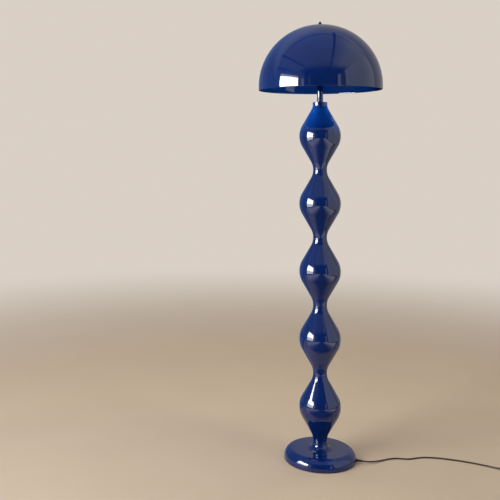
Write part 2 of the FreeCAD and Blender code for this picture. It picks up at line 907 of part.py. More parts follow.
def switch_cover():
    shell = switch_plan(0.0, switch_base_height, switch_height)
    top_edges = [edge for edge in shell.Edges
                 if all(abs(vertex.Z - switch_height) < 0.01 for vertex in edge.Vertexes)]
    shell = shell.makeFillet(switch_edge, top_edges)
    inside_top = switch_height - switch_wall
    hollow = switch_plan(switch_wall, switch_base_height - overshoot, inside_top)
    inner_edges = [edge for edge in hollow.Edges
                   if all(abs(vertex.Z - inside_top) < 0.01 for vertex in edge.Vertexes)]
    hollow = hollow.makeFillet(switch_edge - switch_wall, inner_edges)
    shell = shell.cut(hollow).cut(lead_cut())
    shell = shell.cut(disc(button_radius + running_gap, 0, switch_height + overshoot))
    for x, y in switch_screw_places():
        boss = disc(switch_boss_radius, switch_base_height, inside_top + switch_wall / 4)
        tapped = disc(switch_screw_radius + thread_fit, 0, inside_top - switch_screw_blind)
        shell = shell.fuse(moved(boss, x, y)).cut(moved(tapped, x, y))
    return placed_switch(shell)


def switch_screws():
    screws = []
    tip = switch_height - switch_wall - switch_screw_blind - switch_screw_short
    for x, y in switch_screw_places():
        head = disc(switch_screw_head_radius, running_gap, screw_seat())
        shank = disc(switch_screw_radius, screw_seat(), tip)
        screws.append(moved(head.fuse(shank).removeSplitter(), x, y))
    return placed_switch(Part.makeCompound(screws))


def button_underside():
    return switch_height - switch_wall - slip - button_flange


def switch_button():
    # Round cap with a flange that stops it under the cover, and a plunger down to the core.
    top = switch_height + button_rise
    flange_bottom = button_underside()
    plunger_bottom = core_top() + button_travel + running_gap
    inset = button_edge * round_inset
    return placed_switch(turned(
        (0.0, plunger_bottom), (plunger_radius, plunger_bottom), (plunger_radius, flange_bottom),
        (button_flange_radius, flange_bottom),
        (button_flange_radius, flange_bottom + button_flange),
        (button_radius, flange_bottom + button_flange),
        (button_radius, top - button_edge),
        ((button_radius - inset, top - inset), (button_radius - button_edge, top)),
        (0.0, top)))


def core_top():
    return switch_wall + core_height


def switch_core():
    return placed_switch(block(core_length, core_width, switch_wall, core_top()))


def switch_spring():
    bottom = core_top() + spring_wire_radius
    rise = button_underside() - spring_wire_radius - bottom
    steps = spring_turns * spring_steps
    points = [(*on_circle(spring_radius, 360.0 * step / spring_steps), bottom + rise * step / steps)
              for step in range(steps + 1)]
    return placed_switch(tube_along(points, spring_wire_radius, "switch_spring"))


def switch_relief():
    # Made along +Z from the tip inwards; the ribbed nose is clamped in the housing's end.
    bore = cord_radius + thread_fit
    neck = switch_relief_radius - thread_fit
    rim = switch_relief_radius + switch_relief_rim
    inside = switch_relief_length + switch_wall + slip
    body = turned(
        (bore, 0.0), (bushing_tip_radius, 0.0), (neck, switch_relief_length), (neck, inside),
        (rim, inside), (rim, inside + switch_relief_flange), (bore, inside + switch_relief_flange))
    return laid(body, switch_base_height)


def switch_reliefs():
    first = swung(switch_relief(), switch_azimuth, switch_place)
    far_end = switch_origin(2 * switch_relief_length + switch_length)
    second = swung(switch_relief(), switch_azimuth + 180, far_end)
    return Part.makeCompound([first, second])


# ---- Cord on the floor

def coil_half_width():
    return coil_columns * cord_radius


def coil_outer_turn():
    return coil_ring_radius + (coil_columns - 1) * cord_radius


def cord_run_1():
    straight_out = along((0, 0), exit_azimuth, bushing_reach + first_run, exit_height)
    points = [bushing_tip(), straight_out] + cord_route
    points.append((*switch_place, switch_base_height))
    return tube_along(points, cord_radius, "cord_run_1")


def coil_body():
    outer = coil_ring_radius + coil_half_width()
    inner = coil_ring_radius - coil_half_width()
    corner = cord_radius
    tip = corner * round_inset
    top = coil_layers * 2 * cord_radius + cord_lift
    return turned(
        (inner, cord_lift), (outer, cord_lift), (outer, top - corner),
        ((outer - tip, top - tip), (outer - corner, top)), (inner + corner, top),
        ((inner + tip, top - tip), (inner, top - corner)))


def cord_coil():
    floor_notch = Part.makeBox(2 * coil_ring_radius, tie_width + 2 * slip, tie_thickness + slip,
                               Vector(0, -tie_width / 2 - slip, 0))
    body = coil_body().cut(swung(floor_notch, tie_azimuth))
    return moved(body, *coil_centre)


def coil_tie():
    # A flat strap round the bundle, clear of the inner turn's curve.
    inner = coil_ring_radius - coil_half_width()
    near = math.sqrt(inner ** 2 - (tie_width / 2) ** 2) - slip
    far = coil_ring_radius + coil_half_width() + slip
    top = coil_layers * 2 * cord_radius + cord_lift + slip
    strap = Part.makeBox(far - near + 2 * tie_thickness, tie_width, top + tie_thickness,
                         Vector(near - tie_thickness, -tie_width / 2, 0))
    window = Part.makeBox(far - near, 2 * tie_width, top - tie_thickness,
                          Vector(near, -tie_width, tie_thickness))
    return moved(swung(strap.cut(window), tie_azimuth), *coil_centre)


def cord_run_2():
    start = along(switch_place, switch_azimuth, 2 * switch_relief_length + switch_length,
                  switch_base_height)
    entry = (coil_centre[0], coil_centre[1] - coil_outer_turn(), cord_floor)
    points = [
        start,
        along(start, switch_azimuth, second_run, switch_base_height),
        *second_route,
        entry,
    ]
    return tube_along(points, cord_radius, "cord_run_2")


def cord_run_3():
    top_turn = cord_floor + 2 * cord_radius * (coil_layers - 1)
    start = (coil_centre[0] + coil_outer_turn(), coil_centre[1], top_turn)
    points = [start] + tail_route + [(*plug_place, plug_thickness / 2)]
    return tube_along(points, cord_radius, "cord_run_3")


# ---- Plug, made along +X from the tip of its relief

def plug_body():
    start = plug_relief_length
    half_rear = plug_rear_width / 2
    half = plug_width / 2
    points = [
        (start, -half_rear), (start + plug_shoulder, -half), (start + plug_length, -half),
        (start + plug_length, half), (start + plug_shoulder, half), (start, half_rear),
    ]
    outline = Part.makePolygon([Vector(x, y, 0) for x, y in points + points[:1]])
    body = Part.Face(outline).extrude(Vector(0, 0, plug_thickness))
    level = [edge for edge in body.Edges
             if abs(edge.tangentAt(edge.FirstParameter).z) < 0.01
             and edge.BoundBox.XMin < start + plug_length - 0.01]
    body = body.makeFillet(plug_edge, level)
    bore = cord_radius + thread_fit
    root = start + plug_relief_sink
    relief = turned((0.0, 0.0), (bushing_tip_radius, 0.0), (switch_relief_radius, root),
                    (0.0, root))
    body = body.fuse(laid(relief, plug_thickness / 2))
    body = body.cut(laid(disc(bore, -overshoot, start - plug_bore_stop), plug_thickness / 2))
    for side in (-1, 1):
        hole = disc(pin_radius + thread_fit, start + plug_length - pin_depth,
                    start + plug_length + overshoot)
        body = body.cut(moved(laid(hole, plug_thickness / 2), 0, side * pin_spacing / 2))
    return swung(solid_of(body), plug_azimuth, plug_place)


def plug_pins():
    front = plug_relief_length + plug_length
    pin = laid(disc(pin_radius, front - pin_depth, front + pin_length), plug_thickness / 2)
    pins = [moved(pin, 0, side * pin_spacing / 2) for side in (-1, 1)]
    return swung(Part.makeCompound(pins), plug_azimuth, plug_place)


# ---- The whole lamp

def build_base():
    nodes["base_pad"] = base_pad()
    nodes["base_plate"] = base_plate()
    nodes["plate_screws"] = plate_screws()
    nodes["base_weight"] = base_weight()
    nodes["base_cover"] = base_cover()
    nodes["base_washer"] = ring(washer_radius, rod_radius + slip, base_nut_top, pocket_top)
    nodes["base_nut"] = rod_nut(base_nut_bottom, base_nut_top)
    nodes["cord_bushing"] = cord_bushing()
    nodes["cord_clamp"] = cord_clamp()
    nodes["clamp_screws"] = clamp_screws()
    nodes["base_neck"] = base_neck()
    nodes["foot_collar"] = foot_collar()


def build_stem():
    for number in range(bulge_count):
        nodes[f"stem_shell_{number + 1}"] = stem_shell(number)
    nodes["joint_bushes"] = Part.makeCompound([joint_bush(number) for number in range(1, bulge_count)])
    nodes["top_collar"] = top_collar()
    nodes.update(tie_rods())
    half = coupler_length / 2
    nodes["rod_couplers"] = Part.makeCompound([rod_nut(level - half, level + half)
                                               for level in coupler_levels()])
    nodes["inner_lead"] = inner_lead()


def build_top():
    nodes["neck_tube"] = neck_tube()
    nodes["hub_body"] = hub_body()
    nodes["hub_nut"] = rod_nut(hub_nut_bottom, hub_nut_top)
    nodes["hub_lid"] = hub_lid()
    nodes["terminal_block"] = terminal_block()
    nodes["nipples"] = each_holder(nipple)
    nodes["branch_leads"] = each_holder(branch_lead)
    nodes["holder_contacts"] = each_holder(holder_contact)
    for number in range(holder_count):
        label = number + 1
        nodes[f"holder_cap_{label}"] = sideways(holder_cap(), number)
        nodes[f"holder_body_{label}"] = sideways(holder_body(), number)
        nodes[f"bulb_cap_{label}"] = sideways(bulb_cap(), number)
        nodes[f"bulb_glass_{label}"] = sideways(bulb_glass(), number)
    nodes["shade_rod"] = shade_rod()
    nodes["seat_nut"] = seat_nut()
    nodes["seat_washer"] = seat_washer()
    nodes["shade"] = shade()
    nodes["finial"] = finial()


def build_cord():
    nodes["cord_run_1"] = cord_run_1()
    nodes["switch_base"] = switch_base()
    nodes["switch_cover"] = switch_cover()
    nodes["switch_button"] = switch_button()
    nodes["switch_spring"] = switch_spring()
    nodes["switch_core"] = switch_core()
    nodes["switch_screws"] = switch_screws()
    nodes["switch_reliefs"] = switch_reliefs()
    nodes["cord_run_2"] = cord_run_2()
    nodes["cord_coil"] = cord_coil()
    nodes["coil_tie"] = coil_tie()
    nodes["cord_run_3"] = cord_run_3()
    nodes["plug_body"] = plug_body()
    nodes["plug_pins"] = plug_pins()


build_base()
build_stem()
build_top()
build_cord()

os.makedirs("parts", exist_ok=True)
for name, shape in nodes.items():
    print(name, "solids", len(shape.Solids), "valid", shape.isValid(), "volume", round(shape.Volume))
    shape.exportStep(f"parts/{name}.step")
print(len(nodes), "nodes")
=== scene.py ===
import bpy
import json
import math
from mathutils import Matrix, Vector


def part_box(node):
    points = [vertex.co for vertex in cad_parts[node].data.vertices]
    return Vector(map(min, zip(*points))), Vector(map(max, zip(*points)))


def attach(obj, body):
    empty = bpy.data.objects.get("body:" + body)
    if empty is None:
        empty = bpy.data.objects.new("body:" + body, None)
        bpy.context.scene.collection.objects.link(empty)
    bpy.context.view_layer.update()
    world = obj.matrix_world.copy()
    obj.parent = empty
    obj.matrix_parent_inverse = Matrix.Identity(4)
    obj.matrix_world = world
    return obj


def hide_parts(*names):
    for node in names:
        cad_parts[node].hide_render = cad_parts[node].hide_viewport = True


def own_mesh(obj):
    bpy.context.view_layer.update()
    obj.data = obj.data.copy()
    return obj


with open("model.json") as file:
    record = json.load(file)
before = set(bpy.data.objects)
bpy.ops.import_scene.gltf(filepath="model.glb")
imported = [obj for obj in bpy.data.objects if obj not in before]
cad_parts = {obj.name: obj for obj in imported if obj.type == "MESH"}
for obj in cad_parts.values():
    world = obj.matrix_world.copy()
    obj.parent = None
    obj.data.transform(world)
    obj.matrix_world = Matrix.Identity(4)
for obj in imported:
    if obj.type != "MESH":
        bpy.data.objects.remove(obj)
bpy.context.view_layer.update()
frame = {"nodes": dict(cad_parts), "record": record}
nodes = frame["nodes"]
bpy.context.scene.view_settings.view_transform = "Standard"


# ---------- selecting and turning shapes

def deselectAll():
    if bpy.context.object and bpy.context.object.mode != "OBJECT":
        bpy.ops.object.mode_set(mode="OBJECT")
    bpy.ops.object.select_all(action="DESELECT")


def nameIt(name):
    piece = bpy.context.object
    piece.name = name
    piece.data.name = name
    return piece


def settle(piece):
    # the piece's place goes into its mesh
    deselectAll()
    piece.select_set(True)
    bpy.context.view_layer.objects.active = piece
    bpy.ops.object.transform_apply(location=True, rotation=True, scale=True)
    return piece


def applyModifier(piece, kind, **settings):
    deselectAll()
    piece.select_set(True)
    bpy.context.view_layer.objects.active = piece
    modifier = piece.modifiers.new(kind.title(), kind)
    for name, value in settings.items():
        setattr(modifier, name, value)
    bpy.ops.object.modifier_apply(modifier=modifier.name)
    return piece


def smooth(piece, degrees=35):
    deselectAll()
    piece.select_set(True)
    bpy.context.view_layer.objects.active = piece
    bpy.ops.object.shade_smooth_by_angle(angle=math.radians(degrees))
    return piece


def arc(centre, radius, start, end, steps):
    # points of a round stretch, as (distance from the axis, height), angles in degrees
    points = []
    for step in range(steps + 1):
        angle = math.radians(start + (end - start) * step / steps)
        points.append((centre[0] + radius * math.cos(angle), centre[1] + radius * math.sin(angle)))
    return points


def drawLine(name, outline, closed):
    # one vertex, drawn out along the outline in the X-Z plane
    deselectAll()
    bpy.ops.mesh.primitive_plane_add(size=0.001, location=(0, 0, 0))
    piece = nameIt(name)
    bpy.ops.object.mode_set(mode="EDIT")
    bpy.ops.mesh.select_mode(type="VERT")
    bpy.ops.mesh.select_all(action="SELECT")
    bpy.ops.mesh.merge(type="CENTER")
    bpy.ops.mesh.select_all(action="SELECT")
    bpy.ops.transform.translate(value=(outline[0][0], 0, outline[0][1]))
    rest = outline[1:] + outline[:1] if closed else outline[1:]
    before = outline[0]
    for point in rest:
        step = (point[0] - before[0], 0, point[1] - before[1])
        bpy.ops.mesh.extrude_region_move(TRANSFORM_OT_translate={"value": step})
        before = point
    return piece


def lathe(name, outline, closed=False, turns=144):
    # an outline spun about the Z axis
    piece = drawLine(name, outline, closed)
    bpy.ops.mesh.select_all(action="SELECT")
    bpy.ops.mesh.spin(steps=turns, angle=math.tau, center=(0, 0, 0), axis=(0, 0, 1))
    bpy.ops.mesh.select_all(action="SELECT")
    bpy.ops.mesh.remove_doubles(threshold=0.000004)
    bpy.ops.mesh.normals_make_consistent(inside=False)
    bpy.ops.object.mode_set(mode="OBJECT")
    return piece


def joined(name, pieces):
    deselectAll()
    for piece in pieces:
        piece.select_set(True)
    bpy.context.view_layer.objects.active = pieces[0]
    bpy.ops.object.join()
    return nameIt(name)


def turnOver(piece, axis, degrees, place=(0, 0, 0)):
    # turn about the origin, then move, and keep the result in the mesh
    piece.rotation_euler["XYZ".index(axis)] = math.radians(degrees)
    settle(piece)
    piece.location = place
    return settle(piece)


def copyOf(piece, name):
    deselectAll()
    twin = piece.copy()
    twin.data = piece.data.copy()
    twin.name = name
    twin.data.name = name
    bpy.context.scene.collection.objects.link(twin)
    return twin


def finish(piece, body, slot, *replaced):
    piece.data.materials.clear()
    piece.data.materials.append(finishes[slot])
    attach(piece, body)
    if replaced:
        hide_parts(*replaced)
    return piece


def spun(name, outline, body, slot, node, turns=144, angle=40):
    # a closed outline, spun where it stands
    piece = smooth(lathe(name, outline, closed=True, turns=turns), angle)
    return finish(piece, body, slot, node)


# ---------- materials

class Flow:
    # a socket that can be reckoned with
    def __init__(self, recipe, socket):
        self.recipe = recipe
        self.socket = socket

    def reckon(self, operation, first, second):
        return self.recipe.reckon(operation, first, second)

    def __add__(self, other):
        return self.reckon("ADD", self, other)

    def __radd__(self, other):
        return self.reckon("ADD", other, self)

    def __sub__(self, other):
        return self.reckon("SUBTRACT", self, other)

    def __rsub__(self, other):
        return self.reckon("SUBTRACT", other, self)

    def __mul__(self, other):
        return self.reckon("MULTIPLY", self, other)

    def __rmul__(self, other):
        return self.reckon("MULTIPLY", other, self)

    def __lt__(self, other):
        return self.reckon("LESS_THAN", self, other)

    def __gt__(self, other):
        return self.reckon("GREATER_THAN", self, other)


class Recipe:
    def __init__(self, owner):
        owner.use_nodes = True
        self.tree = owner.node_tree
        self.tree.nodes.clear()

    def node(self, kind, settings=None, sockets=None):
        made = self.tree.nodes.new(kind)
        for name, value in (settings or {}).items():
            setattr(made, name, value)
        for name, value in (sockets or {}).items():
            if isinstance(value, Flow):
                self.tree.links.new(value.socket, made.inputs[name])
            else:
                made.inputs[name].default_value = value
        return made

    def out(self, made, name=0):
        return Flow(self, made.outputs[name])

    def place(self):
        return self.out(self.node("ShaderNodeTexCoord"), "Object")

    def mapped(self, vector, scale=(1, 1, 1), turn=(0, 0, 0), shift=(0, 0, 0)):
        made = self.node("ShaderNodeMapping", None,
                         {"Vector": vector, "Scale": scale, "Rotation": turn, "Location": shift})
        return self.out(made)

    def noise(self, vector, scale, detail=2.0, rough=0.5):
        made = self.node("ShaderNodeTexNoise", None,
                         {"Vector": vector, "Scale": scale, "Detail": detail, "Roughness": rough})
        return self.out(made)

    def split(self, vector):
        made = self.node("ShaderNodeSeparateXYZ", None, {0: vector})
        return self.out(made, "X"), self.out(made, "Y"), self.out(made, "Z")

    def reckon(self, operation, first, second=0.0):
        made = self.node("ShaderNodeMath", {"operation": operation}, {0: first, 1: second})
        return self.out(made)

    def fade(self, value, low, high, first=0.0, second=1.0):
        made = self.node("ShaderNodeMapRange", {"interpolation_type": "SMOOTHSTEP"},
                         {"Value": value, "From Min": low, "From Max": high,
                          "To Min": first, "To Max": second})
        return self.out(made)

    def blend(self, share, first, second):
        # the colour sockets of a Mix node are its seventh and eighth
        made = self.node("ShaderNodeMix", {"data_type": "RGBA"}, {0: share, 6: first, 7: second})
        return self.out(made, 2)

    def bump(self, height, strength, distance, under=None):
        sockets = {"Height": height, "Strength": strength, "Distance": distance}
        if under is not None:
            sockets["Normal"] = under
        return self.out(self.node("ShaderNodeBump", None, sockets))

    def surface(self, **sockets):
        named = {name.replace("_", " "): value for name, value in sockets.items()}
        shader = self.node("ShaderNodeBsdfPrincipled", None, named)
        self.node("ShaderNodeOutputMaterial", None, {"Surface": self.out(shader)})
        return shader


def newMaterial(name):
    material = bpy.data.materials.new(name)
    return material, Recipe(material)


def rgb(red, green, blue):
    return (red, green, blue, 1.0)


lacquer = {
    "deep": rgb(0.0006, 0.0142, 0.116),
    # a lighter copy of the blue, blended in where the slow waves rise: painted light
    "lit": rgb(0.0010, 0.0172, 0.134),
    "dust": rgb(0.16, 0.17, 0.22),
    "roughness": 0.045,
    "peelScale": 420.0,      # orange peel, cells per metre
    "peelHeight": 0.000006,
    "waveScale": 9.0,        # slow waviness of spun sheet
    "waveHeight": 0.0005,
}


def makeLacquer():
    material, r = newMaterial("blueLacquer")
    place = r.place()
    slow = r.noise(r.mapped(place, scale=(1, 1, 1.6)), lacquer["waveScale"], 1.0)
    peel = r.noise(place, lacquer["peelScale"], 1.0)
    specks = r.fade(r.noise(place, 1900.0, 1.0), 0.74, 0.82)
    haze = r.noise(place, 14.0, 3.0)
    # the blue turns to its lighter copy on the crests of the slow waves: painted light
    colour = r.blend(r.fade(slow, 0.3, 0.7), lacquer["deep"], lacquer["lit"])
    colour = r.blend(specks * 0.2, colour, lacquer["dust"])
    roughness = haze * 0.04 + specks * 0.25 + (lacquer["roughness"] - 0.02)
    waves = r.bump(slow, 0.6, lacquer["waveHeight"])
    skin = r.bump(peel, 1.0, lacquer["peelHeight"], waves)
    r.surface(Base_Color=colour, Roughness=roughness, Normal=skin, IOR=1.52,
              Coat_Weight=0.25, Coat_Roughness=0.03, Coat_IOR=1.5)
    return material


def makeMetal(name, colour, shade, roughness, grain=(300, 300, 14), depth=0.00002):
    # polished or brushed metal with fine lines across its grain
    material, r = newMaterial(name)
    place = r.place()
    lines = r.noise(r.mapped(place, scale=grain), 6.0, 3.0)
    cloud = r.noise(place, 60.0, 3.0)
    mixed = r.blend(r.fade(cloud, 0.35, 0.75), colour, shade)
    r.surface(Base_Color=mixed, Metallic=1.0, Roughness=lines * 0.12 + cloud * 0.08 + roughness,
              Normal=r.bump(lines, 0.35, depth))
    return material


def makeCasting():
    material, r = newMaterial("castIron")
    place = r.place()
    sand = r.noise(place, 420.0, 4.0, 0.7)
    lump = r.noise(place, 45.0, 3.0)
    colour = r.blend(r.fade(sand, 0.3, 0.7), rgb(0.022, 0.023, 0.025), rgb(0.075, 0.072, 0.07))
    r.surface(Base_Color=colour, Metallic=0.55, Roughness=sand * 0.2 + 0.6,
              Normal=r.bump(sand * 0.7 + lump * 0.6, 0.6, 0.0006))
    return material


def makeFelt():
    material, r = newMaterial("pressedFelt")
    place = r.place()
    fibre = r.noise(r.mapped(place, scale=(1, 1.7, 1)), 900.0, 6.0, 0.75)
    cloud = r.noise(place, 70.0, 3.0)
    colour = r.blend(r.fade(fibre, 0.35, 0.7), rgb(0.018, 0.018, 0.021), rgb(0.075, 0.075, 0.082))
    colour = r.blend(r.fade(cloud, 0.4, 0.8) * 0.4, colour, rgb(0.045, 0.045, 0.05))
    r.surface(Base_Color=colour, Roughness=fibre * 0.1 + 0.88, Sheen_Weight=0.4,
              Normal=r.bump(fibre, 0.8, 0.0005))
    return material


def makePlastic(name, colour, tint, roughness, grainScale=700.0, depth=0.00005, coat=0.0):
    material, r = newMaterial(name)
    place = r.place()
    grain = r.noise(place, grainScale, 3.0, 0.6)
    cloud = r.noise(place, 55.0, 3.0)
    dust = r.fade(r.noise(place, 2600.0, 1.0), 0.70, 0.80)
    mixed = r.blend(r.fade(cloud, 0.35, 0.75), colour, tint)
    mixed = r.blend(dust * 0.18, mixed, rgb(0.25, 0.23, 0.2))
    r.surface(Base_Color=mixed, Roughness=grain * 0.12 + cloud * 0.08 + roughness + dust * 0.1,
              Normal=r.bump(grain, 0.4, depth), Coat_Weight=coat, Coat_Roughness=0.08)
    return material


plugFacts = {
    "place": (0.7945, -0.103, 0.00685),
    "azimuth": 152.0,
    "relief": 0.022,
    "length": 0.036,
    "width": 0.035,
    "rearWidth": 0.015,
    "shoulder": 0.017,
    "thickness": 0.0137,
    "edge": 0.0025,
    "reliefRoot": 0.0052,
    "sink": 0.002,
    "boreStop": 0.004,
    "pinRadius": 0.002,
    "pinLength": 0.019,
    "pinDepth": 0.012,
    "pinSpacing": 0.0186,
    "sleeve": 0.010,         # black sleeve on each pin, from the plug's face
    "sleeveThin": 0.0001,    # how much slimmer the pin is there
}


def makePinMetal(place):
    # nickel with a black sleeve over the stretch next to the plug's face
    material, r = newMaterial("nickelPins")
    angle = math.radians(plugFacts["azimuth"])
    point = r.place()
    across, along, _ = r.split(point)
    distance = (across - place[0]) * math.cos(angle) + (along - place[1]) * math.sin(angle)
    sleeved = distance < plugFacts["relief"] + plugFacts["length"] + plugFacts["sleeve"]
    cloud = r.noise(point, 300.0, 3.0)
    metal = r.blend(r.fade(cloud, 0.35, 0.75), rgb(0.72, 0.70, 0.66), rgb(0.56, 0.54, 0.50))
    black = r.blend(cloud, rgb(0.010, 0.010, 0.011), rgb(0.028, 0.027, 0.027))
    r.surface(Base_Color=r.blend(sleeved, metal, black), Metallic=1.0 - sleeved,
              Roughness=cloud * 0.12 + sleeved * 0.25 + 0.12,
              Normal=r.bump(r.noise(point, 1400.0, 3.0), 0.3, 0.00002))
    return material


opal = {
    "glow": rgb(1.0, 0.86, 0.66),
    "edge": rgb(0.80, 0.52, 0.30),
    "strength": 0.55,
}


def makeOpal():
    # frosted glass, lit from inside: brightest over the ball, warmer towards its neck
    material, r = newMaterial("opalGlass")
    place = r.place()
    across, _, _ = r.split(place)
    reach = r.fade(r.reckon("ABSOLUTE", across), 0.070, 0.105)
    frost = r.noise(place, 1200.0, 3.0)
    glow = r.blend(reach, opal["edge"], opal["glow"])
    colour = r.blend(frost * 0.3, rgb(0.86, 0.85, 0.82), rgb(0.95, 0.94, 0.91))
    r.surface(Base_Color=colour, Roughness=frost * 0.08 + 0.16, Emission_Color=glow,
              Emission_Strength=opal["strength"], Normal=r.bump(frost, 0.2, 0.00003),
              Coat_Weight=0.6, Coat_Roughness=0.05)
    return material


def makeCordSheath():
    # soft dark brown sheath: fine mould lines, scuffs and a little floor dust
    material, r = newMaterial("cordSheath")
    place = r.place()
    grain = r.noise(place, 1500.0, 3.0)
    cloud = r.noise(place, 36.0, 3.0)
    scuff = r.fade(r.noise(r.mapped(place, scale=(1, 2.3, 1)), 260.0, 4.0, 0.7), 0.60, 0.78)
    colour = r.blend(r.fade(cloud, 0.3, 0.75), rgb(0.036, 0.020, 0.011), rgb(0.060, 0.036, 0.021))
    colour = r.blend(scuff * 0.35, colour, rgb(0.13, 0.10, 0.075))
    r.surface(Base_Color=colour, Roughness=grain * 0.15 + scuff * 0.15 + 0.36,
              Normal=r.bump(grain, 0.4, 0.00006))
    return material


print("materials")
finishes = {
    "blue_paint": makeLacquer(),
    "chrome": makeMetal("chromePlate", rgb(0.80, 0.81, 0.83), rgb(0.70, 0.71, 0.74), 0.02),
    "steel": makeMetal("zincSteel", rgb(0.55, 0.56, 0.57), rgb(0.49, 0.49, 0.49), 0.25,
                       depth=0.00005),
    "bulb_cap": makeMetal("rolledCap", rgb(0.74, 0.74, 0.72), rgb(0.56, 0.55, 0.52), 0.22,
                          grain=(40, 220, 220)),
    "brass": makeMetal("bareBrass", rgb(0.72, 0.52, 0.22), rgb(0.50, 0.33, 0.13), 0.18,
                       grain=(30, 240, 240)),
    "pins": makePinMetal(plugFacts["place"]),
    "finial": makeMetal("darkNickel", rgb(0.030, 0.029, 0.033), rgb(0.014, 0.014, 0.017), 0.15),
    "cast_iron": makeCasting(),
    "felt": makeFelt(),
    "holder_plastic": makePlastic("blackPhenolic", rgb(0.012, 0.011, 0.011),
                                  rgb(0.024, 0.021, 0.019), 0.12, coat=0.3),
    "bush_plastic": makePlastic("bushPlastic", rgb(0.03, 0.03, 0.03), rgb(0.055, 0.055, 0.055),
                                0.45),
    "brown_plastic": makePlastic("brownPlastic", rgb(0.030, 0.017, 0.010),
                                 rgb(0.050, 0.031, 0.019), 0.32, depth=0.00012),
    "bulb_glass": makeOpal(),
    "cord": makeCordSheath(),
    "tie": makePlastic("strapRubber", rgb(0.012, 0.012, 0.013), rgb(0.03, 0.03, 0.03), 0.55,
                       grainScale=1100.0, depth=0.00015),
}


# ---------- camera, floor and light

cameraFacts = {
    "place": (-0.476, -2.782, 1.1474),
    "sensor": 36.0,
    "lens": 54.72,           # 760 pixels of the photograph's 500
    "shift": (0.12, -0.21),  # the vanishing point lies at (190, 145) of 500
}


def setCamera():
    data = bpy.data.cameras.new("camera")
    data.sensor_width = cameraFacts["sensor"]
    data.lens = cameraFacts["lens"]
    data.shift_x, data.shift_y = cameraFacts["shift"]
    camera = bpy.data.objects.new("camera", data)
    bpy.context.scene.collection.objects.link(camera)
    camera.location = cameraFacts["place"]
    camera.rotation_euler = (math.radians(90), 0, 0)
    bpy.context.scene.camera = camera


studio = {
    "floorSize": 60.0,
    "floorColour": rgb(0.60, 0.49, 0.37),
    "floorCloud": rgb(0.54, 0.44, 0.33),
    "wallColour": rgb(0.70, 0.63, 0.56),
    "fadeStart": 1.2,        # metres from the lamp where the floor starts to turn into backdrop
    "fadeEnd": 4.5,
    "skyStrength": 0.50,
    "glossNear": rgb(0.09, 0.11, 0.18),   # the floor as gloss sees it, in front of the lamp
    "glossFar": rgb(1.50, 1.42, 1.46),    # and further to its sides
    "glossStart": 0.25,
    "glossEnd": 1.3,
}


def setFloor():
    # a pale floor that runs into the backdrop with no line
    deselectAll()
    bpy.ops.mesh.primitive_plane_add(size=studio["floorSize"], location=(0, 0, 0))
    floor = nameIt("studioFloor")
    material, r = newMaterial("studioFloor")
    place = r.place()
    colour = r.blend(r.noise(place, 3.0, 2.0), studio["floorColour"], studio["floorCloud"])
    ground = r.node("ShaderNodeBsdfPrincipled", None, {"Base Color": colour, "Roughness": 0.7})
    distance = r.out(r.node("ShaderNodeVectorMath", {"operation": "LENGTH"}, {0: place}), "Value")
    far = r.fade(distance, studio["fadeStart"], studio["fadeEnd"])
    path = r.node("ShaderNodeLightPath")
    backdrop = r.node("ShaderNodeEmission", None, {"Color": studio["wallColour"], "Strength": 1.0})
    seen = r.node("ShaderNodeMixShader", None,
                  {0: far * r.out(path, "Is Camera Ray"), 1: r.out(ground), 2: r.out(backdrop)})
    across, along, _ = r.split(place)
    aside = r.fade(r.reckon("ABSOLUTE", across), studio["glossStart"], studio["glossEnd"])
    tone = r.blend(aside, studio["glossNear"], studio["glossFar"])
    inGloss = r.node("ShaderNodeEmission", None, {"Color": tone, "Strength": 1.0})
    ahead = r.fade(along, -0.14, -0.30)
    mixed = r.node("ShaderNodeMixShader", None,
                   {0: ahead * r.out(path, "Is Glossy Ray"), 1: r.out(seen), 2: r.out(inGloss)})
    r.node("ShaderNodeOutputMaterial", None, {"Surface": r.out(mixed)})
    floor.data.materials.append(material)


def setWorld():
    world = bpy.data.worlds.new("studio")
    bpy.context.scene.world = world
    r = Recipe(world)
    path = r.node("ShaderNodeLightPath")
    shown = r.reckon("MAXIMUM", r.out(path, "Is Camera Ray"), r.out(path, "Is Transmission Ray"))
    shown = r.reckon("MAXIMUM", shown, r.out(path, "Is Glossy Ray"))
    sky = r.node("ShaderNodeBackground", None,
                 {"Color": studio["wallColour"],
                  "Strength": shown + (1.0 - shown) * studio["skyStrength"]})
    r.node("ShaderNodeOutputWorld", None, {"Surface": r.out(sky)})


room = {
    "left": -2.6,
    "right": 2.0,
    "front": -5.0,
    "back": 0.40,
    "ceiling": 2.7,
    "line": rgb(0.02, 0.02, 0.035),
}


def addScreen(name, place, turn, size, tone, changes, lines):
    # a wall that only gloss sees: one tone, changes to other tones, as (axis, from, to, tone),
    # and darker bands, as (axis, from, to)
    deselectAll()
    bpy.ops.mesh.primitive_plane_add(size=1, location=(0, 0, 0))
    screen = nameIt(name)
    screen.scale = (size[0], size[1], 1)
    screen.rotation_euler = [math.radians(angle) for angle in turn]
    settle(screen)
    screen.location = place
    settle(screen)
    material, r = newMaterial(name)
    point = r.place()
    shares = r.split(point)
    for axis, start, end, other in changes:
        tone = r.blend(r.fade(shares["XYZ".index(axis)], start, end), tone, other)
    colour = r.blend(r.noise(point, 0.9, 2.0) * 0.35, tone, room["line"])
    for axis, start, end in lines:
        inside = (shares["XYZ".index(axis)] > start) * (shares["XYZ".index(axis)] < end)
        colour = r.blend(inside * 0.85, colour, room["line"])
    glow = r.node("ShaderNodeEmission", None, {"Color": colour, "Strength": 1.0})
    r.node("ShaderNodeOutputMaterial", None, {"Surface": r.out(glow)})
    screen.data.materials.append(material)
    screen.visible_camera = False
    screen.visible_diffuse = False
    screen.visible_transmission = False
    screen.visible_shadow = False


